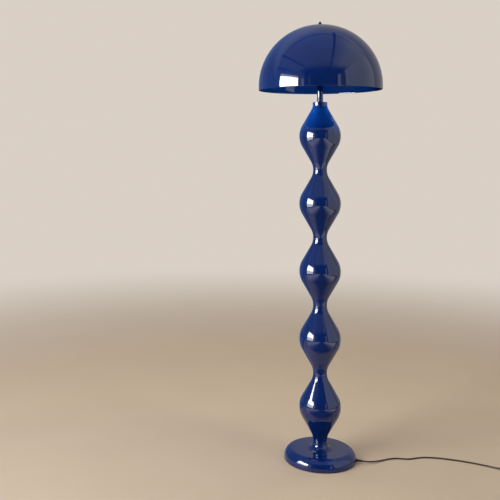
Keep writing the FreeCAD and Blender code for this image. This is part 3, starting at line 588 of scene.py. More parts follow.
def setRoom():
    middleX = (room["left"] + room["right"]) / 2
    middleY = (room["front"] + room["back"]) / 2
    wide = room["right"] - room["left"]
    deep = room["back"] - room["front"]
    high = room["ceiling"]
    addScreen("gloss_ceiling", (middleX, middleY, high), (0, 0, 0), (wide, deep),
              rgb(0.42, 0.48, 0.62), [("X", 0.3, 1.1, rgb(0.90, 0.92, 0.95)),
                                      ("Y", -1.5, -2.9, rgb(0.06, 0.08, 0.14))],
              [("X", -1.62, -1.50), ("Y", 0.16, 0.22), ("X", 0.36, 0.44)])
    addScreen("gloss_back", (middleX, room["back"], high / 2), (90, 0, 0), (wide, high),
              rgb(0.18, 0.27, 0.52), [("Z", 1.75, 2.25, rgb(0.52, 0.60, 0.80)),
                                      ("X", -0.25, 0.15, rgb(0.46, 0.44, 0.42))],
              [("Z", 0.10, 0.13), ("Z", 0.42, 0.45)])
    addScreen("gloss_front", (middleX, room["front"], high / 2), (90, 0, 0), (wide, high),
              rgb(0.05, 0.07, 0.12), [("X", -1.0, 1.0, rgb(0.07, 0.08, 0.12))],
              [("X", 1.55, 1.80)])
    addScreen("gloss_left", (room["left"], middleY, high / 2), (0, 90, 0), (high, deep),
              rgb(0.38, 0.46, 0.64), [("Y", -3.0, 0.2, rgb(0.28, 0.38, 0.64))],
              [("Y", -4.6, -3.4), ("Z", 2.45, 2.55)])
    addScreen("gloss_right", (room["right"], middleY, high / 2), (0, 90, 0), (high, deep),
              rgb(1.12, 1.16, 1.20), [("Y", -2.0, 0.2, rgb(0.90, 0.92, 0.92))],
              [("Y", -3.9, -2.75), ("Z", 0.0, 0.12)])


def addPanel(name, place, target, size, power, colour=(1, 1, 1), gloss=True, diffuse=True):
    data = bpy.data.lights.new(name, "AREA")
    data.shape = "RECTANGLE"
    data.size, data.size_y = size
    data.energy = power
    data.color = colour
    lamp = bpy.data.objects.new(name, data)
    bpy.context.scene.collection.objects.link(lamp)
    lamp.location = place
    lamp.rotation_euler = (Vector(target) - Vector(place)).to_track_quat("-Z", "Y").to_euler()
    lamp.visible_camera = False
    lamp.visible_glossy = gloss
    lamp.visible_diffuse = diffuse


windows = {
    "distance": 2.5,
    # middle along Y, width, lowest, highest, radiance
    "panes": [(-1.20, 2.0, 0.92, 1.95, 24.0), (-1.20, 2.0, 0.28, 0.92, 7.0),
              (-1.20, 2.0, 1.95, 2.12, 2.5), (-2.95, 0.5, 0.28, 1.95, 0.8)],
}


def setLights():
    # tall panes at the left that gloss shows, and soft panels that light the lamp
    for number, (middle, width, low, high, radiance) in enumerate(windows["panes"]):
        level = (low + high) / 2
        power = radiance * math.pi * width * (high - low)
        addPanel(f"windowPane{number + 1}", (-windows["distance"], middle, level),
                 (0, middle, level), (width, high - low), power, diffuse=False)
    addPanel("softLeft", (-2.7, -1.5, 2.1), (0, 0, 0.8), (1.8, 1.8), 78.0, gloss=False)
    addPanel("softRight", (2.6, -1.6, 2.0), (0, 0, 0.8), (1.6, 1.6), 12.0, gloss=False)
    addPanel("softTop", (0, 0.4, 3.6), (0, 0, 0.5), (2.4, 2.4), 24.0, gloss=False)


bulbLight = {
    "colour": (1.0, 0.84, 0.54),
    "upWatts": 2.0,
    "downWatts": 4.8,
    "apart": 0.045,          # from the bulb's axis, just outside its glass
    "softness": 0.012,
    "downSpread": 130,
}


def addBulbLight(name, kind, watts, place):
    data = bpy.data.lights.new(name, kind)
    data.energy = watts
    data.color = bulbLight["colour"]
    data.shadow_soft_size = bulbLight["softness"]
    lamp = bpy.data.objects.new(name, data)
    bpy.context.scene.collection.objects.link(lamp)
    lamp.location = place
    lamp.visible_glossy = False
    lamp.visible_camera = False
    return data


def lightBulbs():
    # warm light above and below each bulb, because the glass itself glows at a plain level
    for number in (1, 2):
        low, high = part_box(f"bulb_glass_{number}")
        middle = (Vector(low) + Vector(high)) / 2
        away = Vector((0, 0, bulbLight["apart"]))
        addBulbLight(f"bulbLightUp{number}", "POINT", bulbLight["upWatts"], middle + away)
        down = addBulbLight(f"bulbLightDown{number}", "SPOT", bulbLight["downWatts"], middle - away)
        down.spot_size = math.radians(bulbLight["downSpread"])
        down.spot_blend = 0.4


print("camera, floor and light")
setCamera()
setFloor()
setWorld()
setRoom()
setLights()
lightBulbs()


# ---------- cord on the floor

cord = {
    "radius": 0.00275,
    "exitAzimuth": -18.0,
    "exitHeight": 0.010,
    "bushingReach": 0.152,
    "firstRun": 0.011,
    "floor": 0.0028,
    "switchPlace": (0.633, -0.110),
    "switchAzimuth": -38.0,
    "switchReach": 0.120,    # from one relief's tip to the other's
    "switchLevel": 0.008,
    "secondRun": 0.012,
    "coilCentre": (0.793, -0.170),
    "coilRadii": (0.0355, 0.030, 0.0245),
    "coilSteps": 24,
}


def reach(start, azimuth, distance, height):
    angle = math.radians(azimuth)
    return (start[0] + distance * math.cos(angle), start[1] + distance * math.sin(angle), height)


def routeOne():
    low = cord["floor"]
    tip = reach((0, 0), cord["exitAzimuth"], cord["bushingReach"], cord["exitHeight"])
    out = reach(tip, cord["exitAzimuth"], cord["firstRun"], cord["exitHeight"])
    points = [
        (0.167, -0.0512, 0.0092), (0.183, -0.0460, 0.0072), (0.203, -0.0355, 0.0048),
        (0.227, -0.0220, 0.0033), (0.252, -0.0100, low), (0.275, -0.0050, low),
        (0.300, -0.0100, low), (0.325, -0.0130, low), (0.349, -0.0045, low),
        (0.376, 0.0030, low), (0.408, 0.0010, low), (0.442, -0.0065, low),
        (0.476, -0.0180, low), (0.512, -0.0325, low), (0.550, -0.0510, low),
        (0.588, -0.0745, low), (0.611, -0.0920, 0.0032),
    ]
    return [tip, out] + points + [(*cord["switchPlace"], cord["switchLevel"])]


def eased(value, start, end):
    share = min(1.0, max(0.0, (value - start) / (end - start)))
    return share * share * (3 - 2 * share)


def coilTurns():
    # three turns inwards on the floor, up a layer along the third, and out again on top
    outer, middle, inner = cord["coilRadii"]
    low = cord["floor"]
    high = low + 2 * cord["radius"]
    steps = cord["coilSteps"]
    swell = 1 / math.cos(math.pi / steps)
    radii = [outer, middle, inner, inner, middle, outer, outer]
    points = []
    for step in range(1, int(5.25 * steps)):
        number, part = divmod(step / steps, 1.0)
        here = radii[int(number)]
        following = radii[int(number) + 1]
        share = eased(part, 0.10, 0.45) if number > 2 else eased(part, 0.66, 1.0)
        radius = here + (following - here) * share
        rise = eased(part, 0.45, 0.90) if number == 2 else float(number > 2)
        height = low + (high - low) * rise
        angle = math.radians(-90) + math.tau * part
        points.append((cord["coilCentre"][0] + radius * swell * math.cos(angle),
                       cord["coilCentre"][1] + radius * swell * math.sin(angle), height))
    return points


def routeTwo():
    low = cord["floor"]
    azimuth = cord["switchAzimuth"]
    start = reach(cord["switchPlace"], azimuth, cord["switchReach"], cord["switchLevel"])
    out = reach(start, azimuth, cord["secondRun"], cord["switchLevel"])
    centre = cord["coilCentre"]
    outer = cord["coilRadii"][0]
    points = [start, out, (0.7485, -0.1995, 0.0060), (0.7620, -0.2045, 0.0034),
              (0.7770, -0.2065, low), (centre[0], centre[1] - outer, low)]
    points += coilTurns()
    points += [
        (centre[0] + outer, centre[1], low + 2 * cord["radius"]),
        (0.8290, -0.1510, 0.0076), (0.8280, -0.1335, 0.0064), (0.8205, -0.1185, 0.0060),
        (0.8070, -0.1095, 0.0065), plugFacts["place"],
    ]
    return points


def layCord(name, points, radius=cord["radius"]):
    data = bpy.data.curves.new(name, "CURVE")
    data.dimensions = "3D"
    spline = data.splines.new("NURBS")
    spline.points.add(len(points) - 1)
    for point, place in zip(spline.points, points):
        point.co = (*place, 1.0)
    spline.order_u = 3
    spline.use_endpoint_u = True
    spline.resolution_u = 6
    data.bevel_depth = radius
    data.bevel_resolution = 5
    data.use_fill_caps = True
    piece = bpy.data.objects.new(name, data)
    bpy.context.scene.collection.objects.link(piece)
    data.materials.append(finishes["cord"])
    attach(piece, "lamp")
    return piece


print("cords")
mainsCord = layCord("mainsCord", routeOne())
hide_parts("cord_run_1")
coiledCord = layCord("coiledCord", routeTwo())
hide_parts("cord_run_2", "cord_coil", "cord_run_3")


# ---------- stem

bulge = {
    "pitch": 0.2474,
    "neck": 0.025,
    "belly": 0.075,
    "neckArc": 0.060,
    "bellyArc": 0.078,
    "wall": 0.0012,
    "seam": 0.0007,     # rounding of each shell's ends, which makes the fine joint line
    "lipHole": 0.018,
}


def bulgeOutline(bottom, top):
    # neck arc, straight flank, belly arc, flank and neck arc, between two heights
    half = bulge["pitch"] / 2
    neckCentre = bulge["neck"] + bulge["neckArc"]
    bellyCentre = bulge["belly"] - bulge["bellyArc"]
    apart = math.hypot(bellyCentre - neckCentre, half)
    lean = math.degrees(math.atan2(half, bellyCentre - neckCentre)
                        + math.acos((bulge["neckArc"] + bulge["bellyArc"]) / apart))
    middle = bottom + half
    end = bottom + bulge["pitch"]
    lower = arc((neckCentre, bottom), bulge["neckArc"], 180, lean, 14)
    belly = arc((bellyCentre, middle), bulge["bellyArc"], lean - 180, 180 - lean, 36)
    upper = arc((neckCentre, end), bulge["neckArc"], -lean, -180, 14)
    outline = lower + belly + upper
    return [point for point in outline if bottom - 0.00001 <= point[1] <= top + 0.00001]


def makeShell(number):
    node = f"stem_shell_{number}"
    low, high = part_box(node)
    bottom = low.z
    top = high.z
    seam = bulge["seam"]
    outline = bulgeOutline(bottom, top)
    if top < bottom + bulge["pitch"] - 0.001:
        last = outline[-1]
        outline = outline[:-1] + [(last[0], top)]
    first = outline[0][0]
    last = outline[-1][0]
    rounded = [(bulge["lipHole"], bottom), (first - seam, bottom)]
    rounded += arc((first - seam, bottom + seam), seam, -60, -15, 3)
    rounded += [point for point in outline if bottom + seam < point[1] < top - seam]
    rounded += arc((last - seam, top - seam), seam, 15, 60, 3)
    rounded += [(last - seam, top), (bulge["lipHole"], top)]
    shell = lathe(f"stemShell{number}", rounded)
    applyModifier(shell, "SOLIDIFY", thickness=bulge["wall"], offset=-1.0)
    smooth(shell, 40)
    return finish(shell, "lamp", "blue_paint", node)


print("stem")
for shellNumber in range(1, 6):
    makeShell(shellNumber)


# ---------- collar, tube and base

def smallRound(corner, radius, start, steps=4):
    # a quarter round at a corner, from one axis direction to the next, counter-clockwise
    angle = math.radians(start)
    centre = (corner[0] - radius * (math.cos(angle) + math.cos(angle + math.pi / 2)),
              corner[1] - radius * (math.sin(angle) + math.sin(angle + math.pi / 2)))
    return arc(centre, radius, start, start + 90, steps)


collar = {
    "edge": 0.0012,
    "lowerEdge": 0.0005,
    "bore": 0.0067,
    "seat": 0.0112,          # the tube stands in it
    "seatDepth": 0.002,
    "spigot": 0.0178,        # down into the top shell's lip
    "spigotLength": 0.004,
}
tube = {"wall": 0.0015, "lowerEdge": 0.0003, "upperEdge": 0.0004}


def makeTopCollar():
    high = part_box("top_collar")[1]
    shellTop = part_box("stem_shell_5")[1].z
    outer = high.x
    spigotEnd = shellTop - collar["spigotLength"]
    outline = [(collar["bore"], spigotEnd), (collar["spigot"], spigotEnd),
               (collar["spigot"], shellTop)]
    outline += smallRound((outer, shellTop), collar["lowerEdge"], -90, 3)
    outline += smallRound((outer, high.z), collar["edge"], 0, 5)
    outline += [(collar["seat"], high.z), (collar["seat"], high.z - collar["seatDepth"]),
                (collar["bore"], high.z - collar["seatDepth"])]
    return spun("topCollar", outline, "lamp", "blue_paint", "top_collar")


def makeTube():
    low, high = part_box("neck_tube")
    outer = high.x
    inner = outer - tube["wall"]
    outline = [(inner, low.z)]
    outline += smallRound((outer, low.z), tube["lowerEdge"], -90, 2)
    outline += smallRound((outer, high.z), tube["upperEdge"], 0, 2)
    outline += [(inner, high.z)]
    return spun("neckTube", outline, "lamp", "blue_paint", "neck_tube", turns=96)


base = {
    "shoulder": 0.030,
    "wall": 0.0015,
    "boltHole": 0.0067,
    "flare": 0.020,
    "neck": 0.025,
    "footEdge": 0.0013,
    "edge": 0.0012,
    "bead": 0.0009,          # the fine ring at the top of the neck's collar
    "plateGap": 0.0003,
    "rim": 0.0006,           # rounding of the cover's lower rim and of the collar's top
    "footRound": 0.0005,
    "spigot": 0.0178,
}


def makeBaseCover():
    low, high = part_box("base_cover")
    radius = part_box("base_plate")[1].x + base["wall"] + base["plateGap"]
    rim = base["rim"]
    corner = (radius - base["shoulder"], high.z - base["shoulder"])
    outline = arc((radius - rim, low.z + rim), rim, -90, 0, 3)
    outline += arc(corner, base["shoulder"], 0, 90, 28)
    outline += [(0.070, high.z), (0.030, high.z), (base["boltHole"], high.z)]
    cover = lathe("baseCover", outline, turns=192)
    applyModifier(cover, "SOLIDIFY", thickness=base["wall"], offset=-1.0)
    smooth(cover, 40)
    return finish(cover, "lamp", "blue_paint", "base_cover")


def makeBaseNeck():
    low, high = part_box("base_neck")
    foot = high.x
    sweepBottom = low.z + base["footEdge"]
    sweep = (base["neck"] + base["flare"], sweepBottom + base["flare"])
    bore = base["boltHole"]
    outline = [(bore, low.z), (foot, low.z)]
    outline += smallRound((foot, sweepBottom), base["footRound"], 0, 3)
    outline += arc(sweep, base["flare"], -90, -180, 18)
    outline += arc((base["neck"] - base["edge"], high.z - base["edge"]), base["edge"], 0, 90, 6)
    outline += [(bore, high.z)]
    return spun("baseNeck", outline, "lamp", "blue_paint", "base_neck")


def makeFootCollar():
    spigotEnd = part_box("foot_collar")[1].z
    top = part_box("stem_shell_1")[0].z
    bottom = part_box("base_neck")[1].z
    radius = base["neck"]
    bead = base["bead"]
    outline = [(base["boltHole"], bottom), (radius - base["edge"], bottom)]
    outline += arc((radius - base["edge"], bottom + base["edge"]), base["edge"], -90, 0, 6)
    outline += arc((radius, top - 2 * bead), bead, -90, 90, 8)
    outline += smallRound((radius, top), base["rim"], 0, 3)
    outline += [(base["spigot"], top), (base["spigot"], spigotEnd), (base["boltHole"], spigotEnd)]
    return spun("footCollar", outline, "lamp", "blue_paint", "foot_collar")


print("collars, tube and base")
makeTopCollar()
makeTube()
makeBaseCover()
makeBaseNeck()
makeFootCollar()


# ---------- shade and finial

shadeFacts = {
    "wall": 0.0012,
    "flat": 0.016,
    "hole": 0.0043,
    "hem": 0.0024,
    "hemHeight": 0.005,
    "skirt": 0.016,
}


def makeShade():
    low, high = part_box("shade")
    radius = high.x
    flat = shadeFacts["flat"]
    wall = shadeFacts["wall"]
    centre = low.z + shadeFacts["skirt"]
    tip = math.degrees(math.acos(flat / radius))
    inner = radius - wall
    innerTip = math.degrees(math.asin((high.z - wall - centre) / inner))
    bead = shadeFacts["hem"] / 2
    outline = [(shadeFacts["hole"], high.z), (0.010, high.z)]
    outline += arc((0, centre), radius, tip, 0, 72)
    outline += [(radius, low.z + 0.010), (radius, low.z + bead)]
    outline += arc((radius - bead, low.z + bead), bead, 0, -180, 10)[1:]
    outline += [(radius - 2 * bead, low.z + shadeFacts["hemHeight"] - 0.0006),
                (inner, low.z + shadeFacts["hemHeight"] + 0.0004), (inner, low.z + 0.012)]
    outline += arc((0, centre), inner, 0, innerTip, 72)
    outline += [(0.010, high.z - wall), (shadeFacts["hole"], high.z - wall)]
    return spun("shade", outline, "shade", "blue_paint", "shade", turns=224)


finialFacts = {"rim": 0.0018, "tip": 0.0012, "bore": 0.0041, "boreDepth": 0.006}


def makeFinial():
    # a small plain cone on a flat rim
    low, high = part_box("finial")
    foot = high.x
    rimTop = low.z + finialFacts["rim"]
    tip = finialFacts["tip"]
    outline = [(finialFacts["bore"], low.z)]
    outline += smallRound((foot, low.z), 0.0004, -90, 2)
    outline += smallRound((foot, rimTop), 0.0005, 0, 3)
    outline += [(foot - 0.0012, rimTop)]
    outline += arc((0.0, high.z - tip), tip, 35, 90, 5)
    outline += [(0.0, low.z + finialFacts["boreDepth"]),
                (finialFacts["bore"], low.z + finialFacts["boreDepth"])]
    return spun("finial", outline, "finial", "finial", "finial", turns=64, angle=50)


print("shade and finial")
makeShade()
makeFinial()


# ---------- cord fittings and screws

def laidDown(piece, azimuth, place):
    # a piece made along +Z is laid down along an azimuth
    turnOver(piece, "Y", 90)
    return turnOver(piece, "Z", azimuth, place)


def ribbed(start, end, startRadius, endRadius, count, depth):
    # a taper with grooves round it, from one height to another
    points = [(startRadius, start)]
    step = (end - start) / (count + 1)
    for number in range(1, count + 1):
        middle = start + step * number
        radius = startRadius + (endRadius - startRadius) * number / (count + 1)
        points += [(radius, middle - step * 0.25), (radius - depth, middle - step * 0.12),
                   (radius - depth, middle + step * 0.12), (radius, middle + step * 0.25)]
    return points + [(endRadius, end)]


def cut(piece, *cutters):
    for cutter in cutters:
        applyModifier(piece, "BOOLEAN", operation="DIFFERENCE", object=cutter, solver="EXACT")
        bpy.data.objects.remove(cutter)
    return piece


def addRod(radius, length, place, turn=(0, 0, 0)):
    deselectAll()
    bpy.ops.mesh.primitive_cylinder_add(vertices=64, radius=radius, depth=length, location=place,
                                        rotation=[math.radians(angle) for angle in turn])
    return settle(nameIt("cutter"))


def addBar(size, place):
    deselectAll()
    bpy.ops.mesh.primitive_cube_add(size=1, location=place)
    bar = nameIt("cutter")
    bar.scale = size
    return settle(bar)


bushing = {
    "inside": 0.1278,        # the inner flange lies against the cover's inside
    "outside": 0.13005,
    "flange": 0.002,
    "innerRadius": 0.006,
    "rimRadius": 0.007,
    "bevel": 0.0008,
    "neck": 0.005,
    "tip": 0.0036,
    "bore": 0.0028,
    "ribs": 6,
    "ribDepth": 0.0006,
    "tipEdge": 0.0004,
}


def makeBushing():
    bore = bushing["bore"]
    neck = bushing["neck"]
    inside = bushing["inside"]
    outside = bushing["outside"]
    taper = outside + bushing["flange"]
    start = inside - bushing["flange"]
    end = cord["bushingReach"]
    outline = [(bore, start), (bushing["innerRadius"], start), (bushing["innerRadius"], inside),
               (neck, inside), (neck, outside), (bushing["rimRadius"], outside)]
    outline += smallRound((bushing["rimRadius"], taper), bushing["bevel"], 0, 4)
    outline += ribbed(taper, end - bushing["tipEdge"], neck, bushing["tip"], bushing["ribs"],
                      bushing["ribDepth"])
    outline += [(bushing["tip"] - bushing["tipEdge"], end), (bore, end)]
    piece = lathe("cordBushing", outline, closed=True, turns=64)
    laidDown(piece, cord["exitAzimuth"], (0, 0, cord["exitHeight"]))
    return finish(smooth(piece, 40), "lamp", "brown_plastic", "cord_bushing")


def reliefTaper(bore, length, root):
    # a relief's ribbed nose, from its tip inwards
    edge = bushing["tipEdge"]
    start = [(bore, 0.0), (bushing["tip"] - edge, 0.0)]
    return start + ribbed(edge, length, bushing["tip"], root, bushing["ribs"], bushing["ribDepth"])


switchFacts = {
    "relief": 0.022,
    "neck": 0.00515,
    "wall": 0.0022,          # housing wall and play between the relief's neck and its rim
    "rim": 0.0059,
    "rimWidth": 0.002,
    "plunger": 0.003,
    "plungerBottom": 0.0128,
    "flange": 0.0175,
    "flangeBottom": 0.018,
    "flangeTop": 0.0198,
    "button": 0.015,
    "top": 0.0265,
    "edge": 0.0015,
    "rings": (0.0110, 0.0080, 0.0050),
    "ringDepth": 0.0004,
    "ringSteps": (0.0004, 0.0010, 0.0014),   # inwards: end of one side, of the floor, of the other
    "screwOut": 0.030,
    "travel": 0.0025,
    "springRadius": 0.0055,
    "springWire": 0.0005,
    "springTurns": 3,
    "springBottom": 0.010,
}


def makeSwitchReliefs():
    azimuth = cord["switchAzimuth"]
    inside = switchFacts["relief"] + switchFacts["wall"]
    far = reach(cord["switchPlace"], azimuth, cord["switchReach"], 0)[:2]
    ends = [("switchReliefIn", azimuth, cord["switchPlace"]),
            ("switchReliefOut", azimuth + 180, far)]
    made = []
    for name, direction, (x, y) in ends:
        outline = reliefTaper(bushing["bore"], switchFacts["relief"], switchFacts["neck"])
        outline += [(switchFacts["neck"], inside), (switchFacts["rim"], inside),
                    (switchFacts["rim"], inside + switchFacts["rimWidth"]),
                    (bushing["bore"], inside + switchFacts["rimWidth"])]
        relief = lathe(name, outline, closed=True, turns=64)
        laidDown(relief, direction, (x, y, cord["switchLevel"]))
        made.append(finish(smooth(relief, 40), "lamp", "brown_plastic",
                           "switch_reliefs"))
    return made


def makeSwitchButton():
    top = switchFacts["top"]
    depth = switchFacts["ringDepth"]
    outline = [(0.0, switchFacts["plungerBottom"]),
               (switchFacts["plunger"], switchFacts["plungerBottom"]),
               (switchFacts["plunger"], switchFacts["flangeBottom"]),
               (switchFacts["flange"], switchFacts["flangeBottom"]),
               (switchFacts["flange"], switchFacts["flangeTop"]),
               (switchFacts["button"], switchFacts["flangeTop"])]
    outline += smallRound((switchFacts["button"], top), switchFacts["edge"], 0, 6)
    side, floor, end = switchFacts["ringSteps"]
    for ring in switchFacts["rings"]:
        outline += [(ring, top), (ring - side, top - depth), (ring - floor, top - depth),
                    (ring - end, top)]
    outline += [(0.0, top)]
    button = lathe("switchButton", outline, closed=True, turns=96)
    centre = reach(cord["switchPlace"], cord["switchAzimuth"], cord["switchReach"] / 2, 0)
    turnOver(button, "Z", 0, centre)
    return finish(smooth(button, 40), "switch_button", "brown_plastic",
                  "switch_button")


def makeSwitchSpring():
    # a wire coil between the core and the button's flange; on the real switch it closes up under
    # the button
    wire = switchFacts["springWire"]
    bottom = switchFacts["springBottom"]
    high = switchFacts["flangeBottom"] - bottom
    x, y, _ = reach(cord["switchPlace"], cord["switchAzimuth"], cord["switchReach"] / 2, 0)
    steps = 16 * switchFacts["springTurns"]
    points = []
    for step in range(steps + 1):
        angle = math.tau * step / 16
        points.append((x + switchFacts["springRadius"] * math.cos(angle),
                       y + switchFacts["springRadius"] * math.sin(angle),
                       bottom + wire + (high - 2 * wire) * step / steps))
    spring = layCord("switchSpring", points, wire)
    deselectAll()
    spring.select_set(True)
    bpy.context.view_layer.objects.active = spring
    bpy.ops.object.convert(target="MESH")
    spring = nameIt("switchSpring")
    finish(spring, "lamp", "steel", "switch_spring")
    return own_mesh(spring)


screws = {
    "headEdge": 0.0006,
    "pitch": 0.0011,
    "threadDepth": 0.0003,
    "tip": 0.0003,
    "slotShare": 1.15,       # length of the cross against the head's radius
    "slotWidth": 0.0008,
    "slotDepth": 0.0016,
    # head radius, its bottom and top, shank radius, tip
    "plate": (0.0038, 0.0004, 0.0020, 0.0020, 0.0155),
    "switch": (0.0028, 0.0003, 0.0018, 0.0015, 0.016),
    "plateRing": 0.085,
}


def makeScrew(headRadius, bottom, headTop, radius, tip):
    # pan head downwards with a cross recess, and a shank with thread rings
    edge = screws["headEdge"]
    threads = int((tip - radius - headTop) / screws["pitch"])
    outline = [(0.0, bottom)]
    outline += arc((headRadius - edge, bottom + edge), edge, -90, 0, 4)
    outline += [(headRadius, headTop)]
    outline += ribbed(headTop, tip - radius, radius, radius, threads, screws["threadDepth"])
    outline += [(screws["tip"], tip), (0.0, tip)]
    screw = lathe("screw", outline, closed=True, turns=48)
    long = headRadius * screws["slotShare"]
    wide = screws["slotWidth"]
    deep = screws["slotDepth"]
    slots = [addBar((long, wide, deep), (0, 0, bottom)), addBar((wide, long, deep), (0, 0, bottom))]
    return smooth(cut(screw, *slots), 35)


def placeScrews(name, kind, places, node):
    # places as (turn of the cross, place)
    first = makeScrew(*screws[kind])
    made = [turnOver(copyOf(first, "screw"), "Z", turn, place) for turn, place in places]
    bpy.data.objects.remove(first)
    return finish(joined(name, made), "lamp", "steel", node)


def makePlateScrews():
    places = []
    for number in range(4):
        angle = cord["exitAzimuth"] + 90 * (number + 0.5)
        places.append((25 * number, reach((0, 0), angle, screws["plateRing"], 0)))
    return placeScrews("plateScrews", "plate", places, "plate_screws")


def makeSwitchScrews():
    places = []
    for side in (-1, 1):
        distance = cord["switchReach"] / 2 + side * switchFacts["screwOut"]
        places.append((40 * side, reach(cord["switchPlace"], cord["switchAzimuth"], distance, 0)))
    return placeScrews("switchScrews", "switch", places, "switch_screws")


def roundPlan(corners):
    # corners as (x, y, radius), each rounded by its own radius
    points = []
    for number, (x, y, radius) in enumerate(corners):
        here = Vector((x, y))
        back = (Vector(corners[number - 1][:2]) - here).normalized()
        onwards = (Vector(corners[(number + 1) % len(corners)][:2]) - here).normalized()
        half = back.angle(onwards) / 2
        centre = here + (back + onwards).normalized() * (radius / math.sin(half))
        first = here + back * (radius / math.tan(half)) - centre
        last = here + onwards * (radius / math.tan(half)) - centre
        for step in range(7):
            points.append(tuple(centre + first.slerp(last, step / 6).normalized() * radius))
    return points


def raised(name, plan, height, edge):
    # a plan raised into a block, with its rims rounded
    piece = drawLine(name, plan, True)
    bpy.ops.mesh.select_all(action="SELECT")
    bpy.ops.mesh.remove_doubles(threshold=0.00001)
    bpy.ops.mesh.edge_face_add()
    bpy.ops.mesh.extrude_region_move(TRANSFORM_OT_translate={"value": (0, height, 0)})
    bpy.ops.mesh.select_all(action="SELECT")
    bpy.ops.mesh.normals_make_consistent(inside=False)
    bpy.ops.object.mode_set(mode="OBJECT")
    turnOver(piece, "X", 90)
    return applyModifier(piece, "BEVEL", width=edge, segments=5, limit_method="ANGLE",
                         angle_limit=math.radians(60))


def makePlugBody():
    half = plugFacts["width"] / 2
    rear = plugFacts["rearWidth"] / 2
    start = plugFacts["relief"]
    shoulder = start + plugFacts["shoulder"]
    front = start + plugFacts["length"]
    middle = plugFacts["thickness"] / 2
    plan = roundPlan([(start, -rear, 0.003), (shoulder, -half, 0.008), (front, -half, 0.0015),
                      (front, half, 0.0015), (shoulder, half, 0.008), (start, rear, 0.003)])
    body = raised("plugBody", plan, plugFacts["thickness"], plugFacts["edge"])
    outline = reliefTaper(0.0, start, plugFacts["reliefRoot"])
    outline += [(plugFacts["reliefRoot"], start + plugFacts["sink"]),
                (0.0, start + plugFacts["sink"])]
    relief = lathe("plugRelief", outline, closed=True, turns=64)
    laidDown(relief, 0, (0, 0, middle))
    applyModifier(body, "BOOLEAN", operation="UNION", object=relief, solver="EXACT")
    bpy.data.objects.remove(relief)
    bore = start - plugFacts["boreStop"]
    cut(body, addRod(bushing["bore"], 2 * bore, (0, 0, middle), (0, 90, 0)))
    for side in (-1, 1):
        place = (front, side * plugFacts["pinSpacing"] / 2, middle)
        cut(body, addRod(plugFacts["pinRadius"] + 0.00005, 2 * plugFacts["pinDepth"], place,
                         (0, 90, 0)))
    x, y, _ = plugFacts["place"]
    turnOver(body, "Z", plugFacts["azimuth"], (x, y, 0))
    return finish(smooth(body, 30), "lamp", "brown_plastic", "plug_body")


def makePlugPins():
    front = plugFacts["relief"] + plugFacts["length"]
    radius = plugFacts["pinRadius"]
    thin = radius - plugFacts["sleeveThin"]
    tip = front + plugFacts["pinLength"]
    sleeveEnd = front + plugFacts["sleeve"]
    made = []
    for side in (-1, 1):
        outline = [(0.0, front - plugFacts["pinDepth"]), (thin, front - plugFacts["pinDepth"]),
                   (thin, sleeveEnd), (radius, sleeveEnd + 0.0002)]
        outline += arc((0.0, tip - radius), radius, 0, 90, 8)
        pin = lathe("plugPin", outline, closed=True, turns=48)
        turnOver(pin, "Y", 90, (0, side * plugFacts["pinSpacing"] / 2, 0))
        made.append(turnOver(pin, "Z", plugFacts["azimuth"], plugFacts["place"]))
    return finish(smooth(joined("plugPins", made), 40), "lamp", "pins", "plug_pins")


print("cord fittings and screws")
makeBushing()
reliefIn, reliefOut = makeSwitchReliefs()
switchButton = makeSwitchButton()
switchScrews = makeSwitchScrews()
switchSpring = makeSwitchSpring()
makePlateScrews()
plugBody = makePlugBody()
plugPins = makePlugPins()


# ---------- hub, lampholders, bulbs and rod

holder = {
    "rear": 0.021,
    "joint": 0.040,
    "front": 0.076,
    "radius": 0.0205,
    "rearRadius": 0.009,
    "wall": 0.002,
    "nipple": 0.00505,
    "bore": 0.0134,
    "floor": 0.046,
    "leadHole": 0.0015,
    "edge": 0.0006,
    "ringStart": 0.056,      # thread for a shade ring, near the mouth
    "ringEnd": 0.073,
    "rings": 6,
    "ringDepth": 0.0006,
    "mouthEdge": 0.0008,
}
bulb = {
    "tip": 0.048,
    "tipRadius": 0.0045,
    "tipLength": 0.0015,
    "cone": 0.005,
    "radius": 0.0132,
    "sleeve": 0.0126,
    "socket": 0.068,
    "mouth": 0.075,
    "threads": 3,
    "threadDepth": 0.0009,
    "tipEdge": 0.0008,
    "neck": 0.0124,
    "neckEnd": 0.077,
    "ball": 0.030,
    "centre": 0.123,
    "bend": 0.018,
    "wall": 0.0008,
}


def portLevel():
    low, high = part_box("holder_body_1")
    return (low.z + high.z) / 2


def alongPort(piece, number):
    return laidDown(piece, 180 * (number - 1), (0, 0, portLevel()))


def makeHolderCap(number):
    rear = holder["rear"]
    joint = holder["joint"]
    outer = holder["radius"]
    inner = outer - holder["wall"]
    swell = outer - holder["rearRadius"]
    innerRear = holder["rearRadius"] - holder["wall"]
    floor = rear + holder["wall"]
    outline = [(holder["nipple"], rear)]
    outline += arc((holder["rearRadius"], rear + swell), swell, -90, 0, 16)
    outline += smallRound((outer, joint), holder["edge"], 0, 3)
    outline += [(inner, joint)]
    outline += arc((innerRear, floor + inner - innerRear), inner - innerRear, 0, -90, 16)
    outline += [(holder["nipple"], floor)]
    bell = alongPort(lathe(f"holderCap{number}", outline, closed=True, turns=96), number)
    return finish(smooth(bell, 40), "lamp", "holder_plastic", f"holder_cap_{number}")


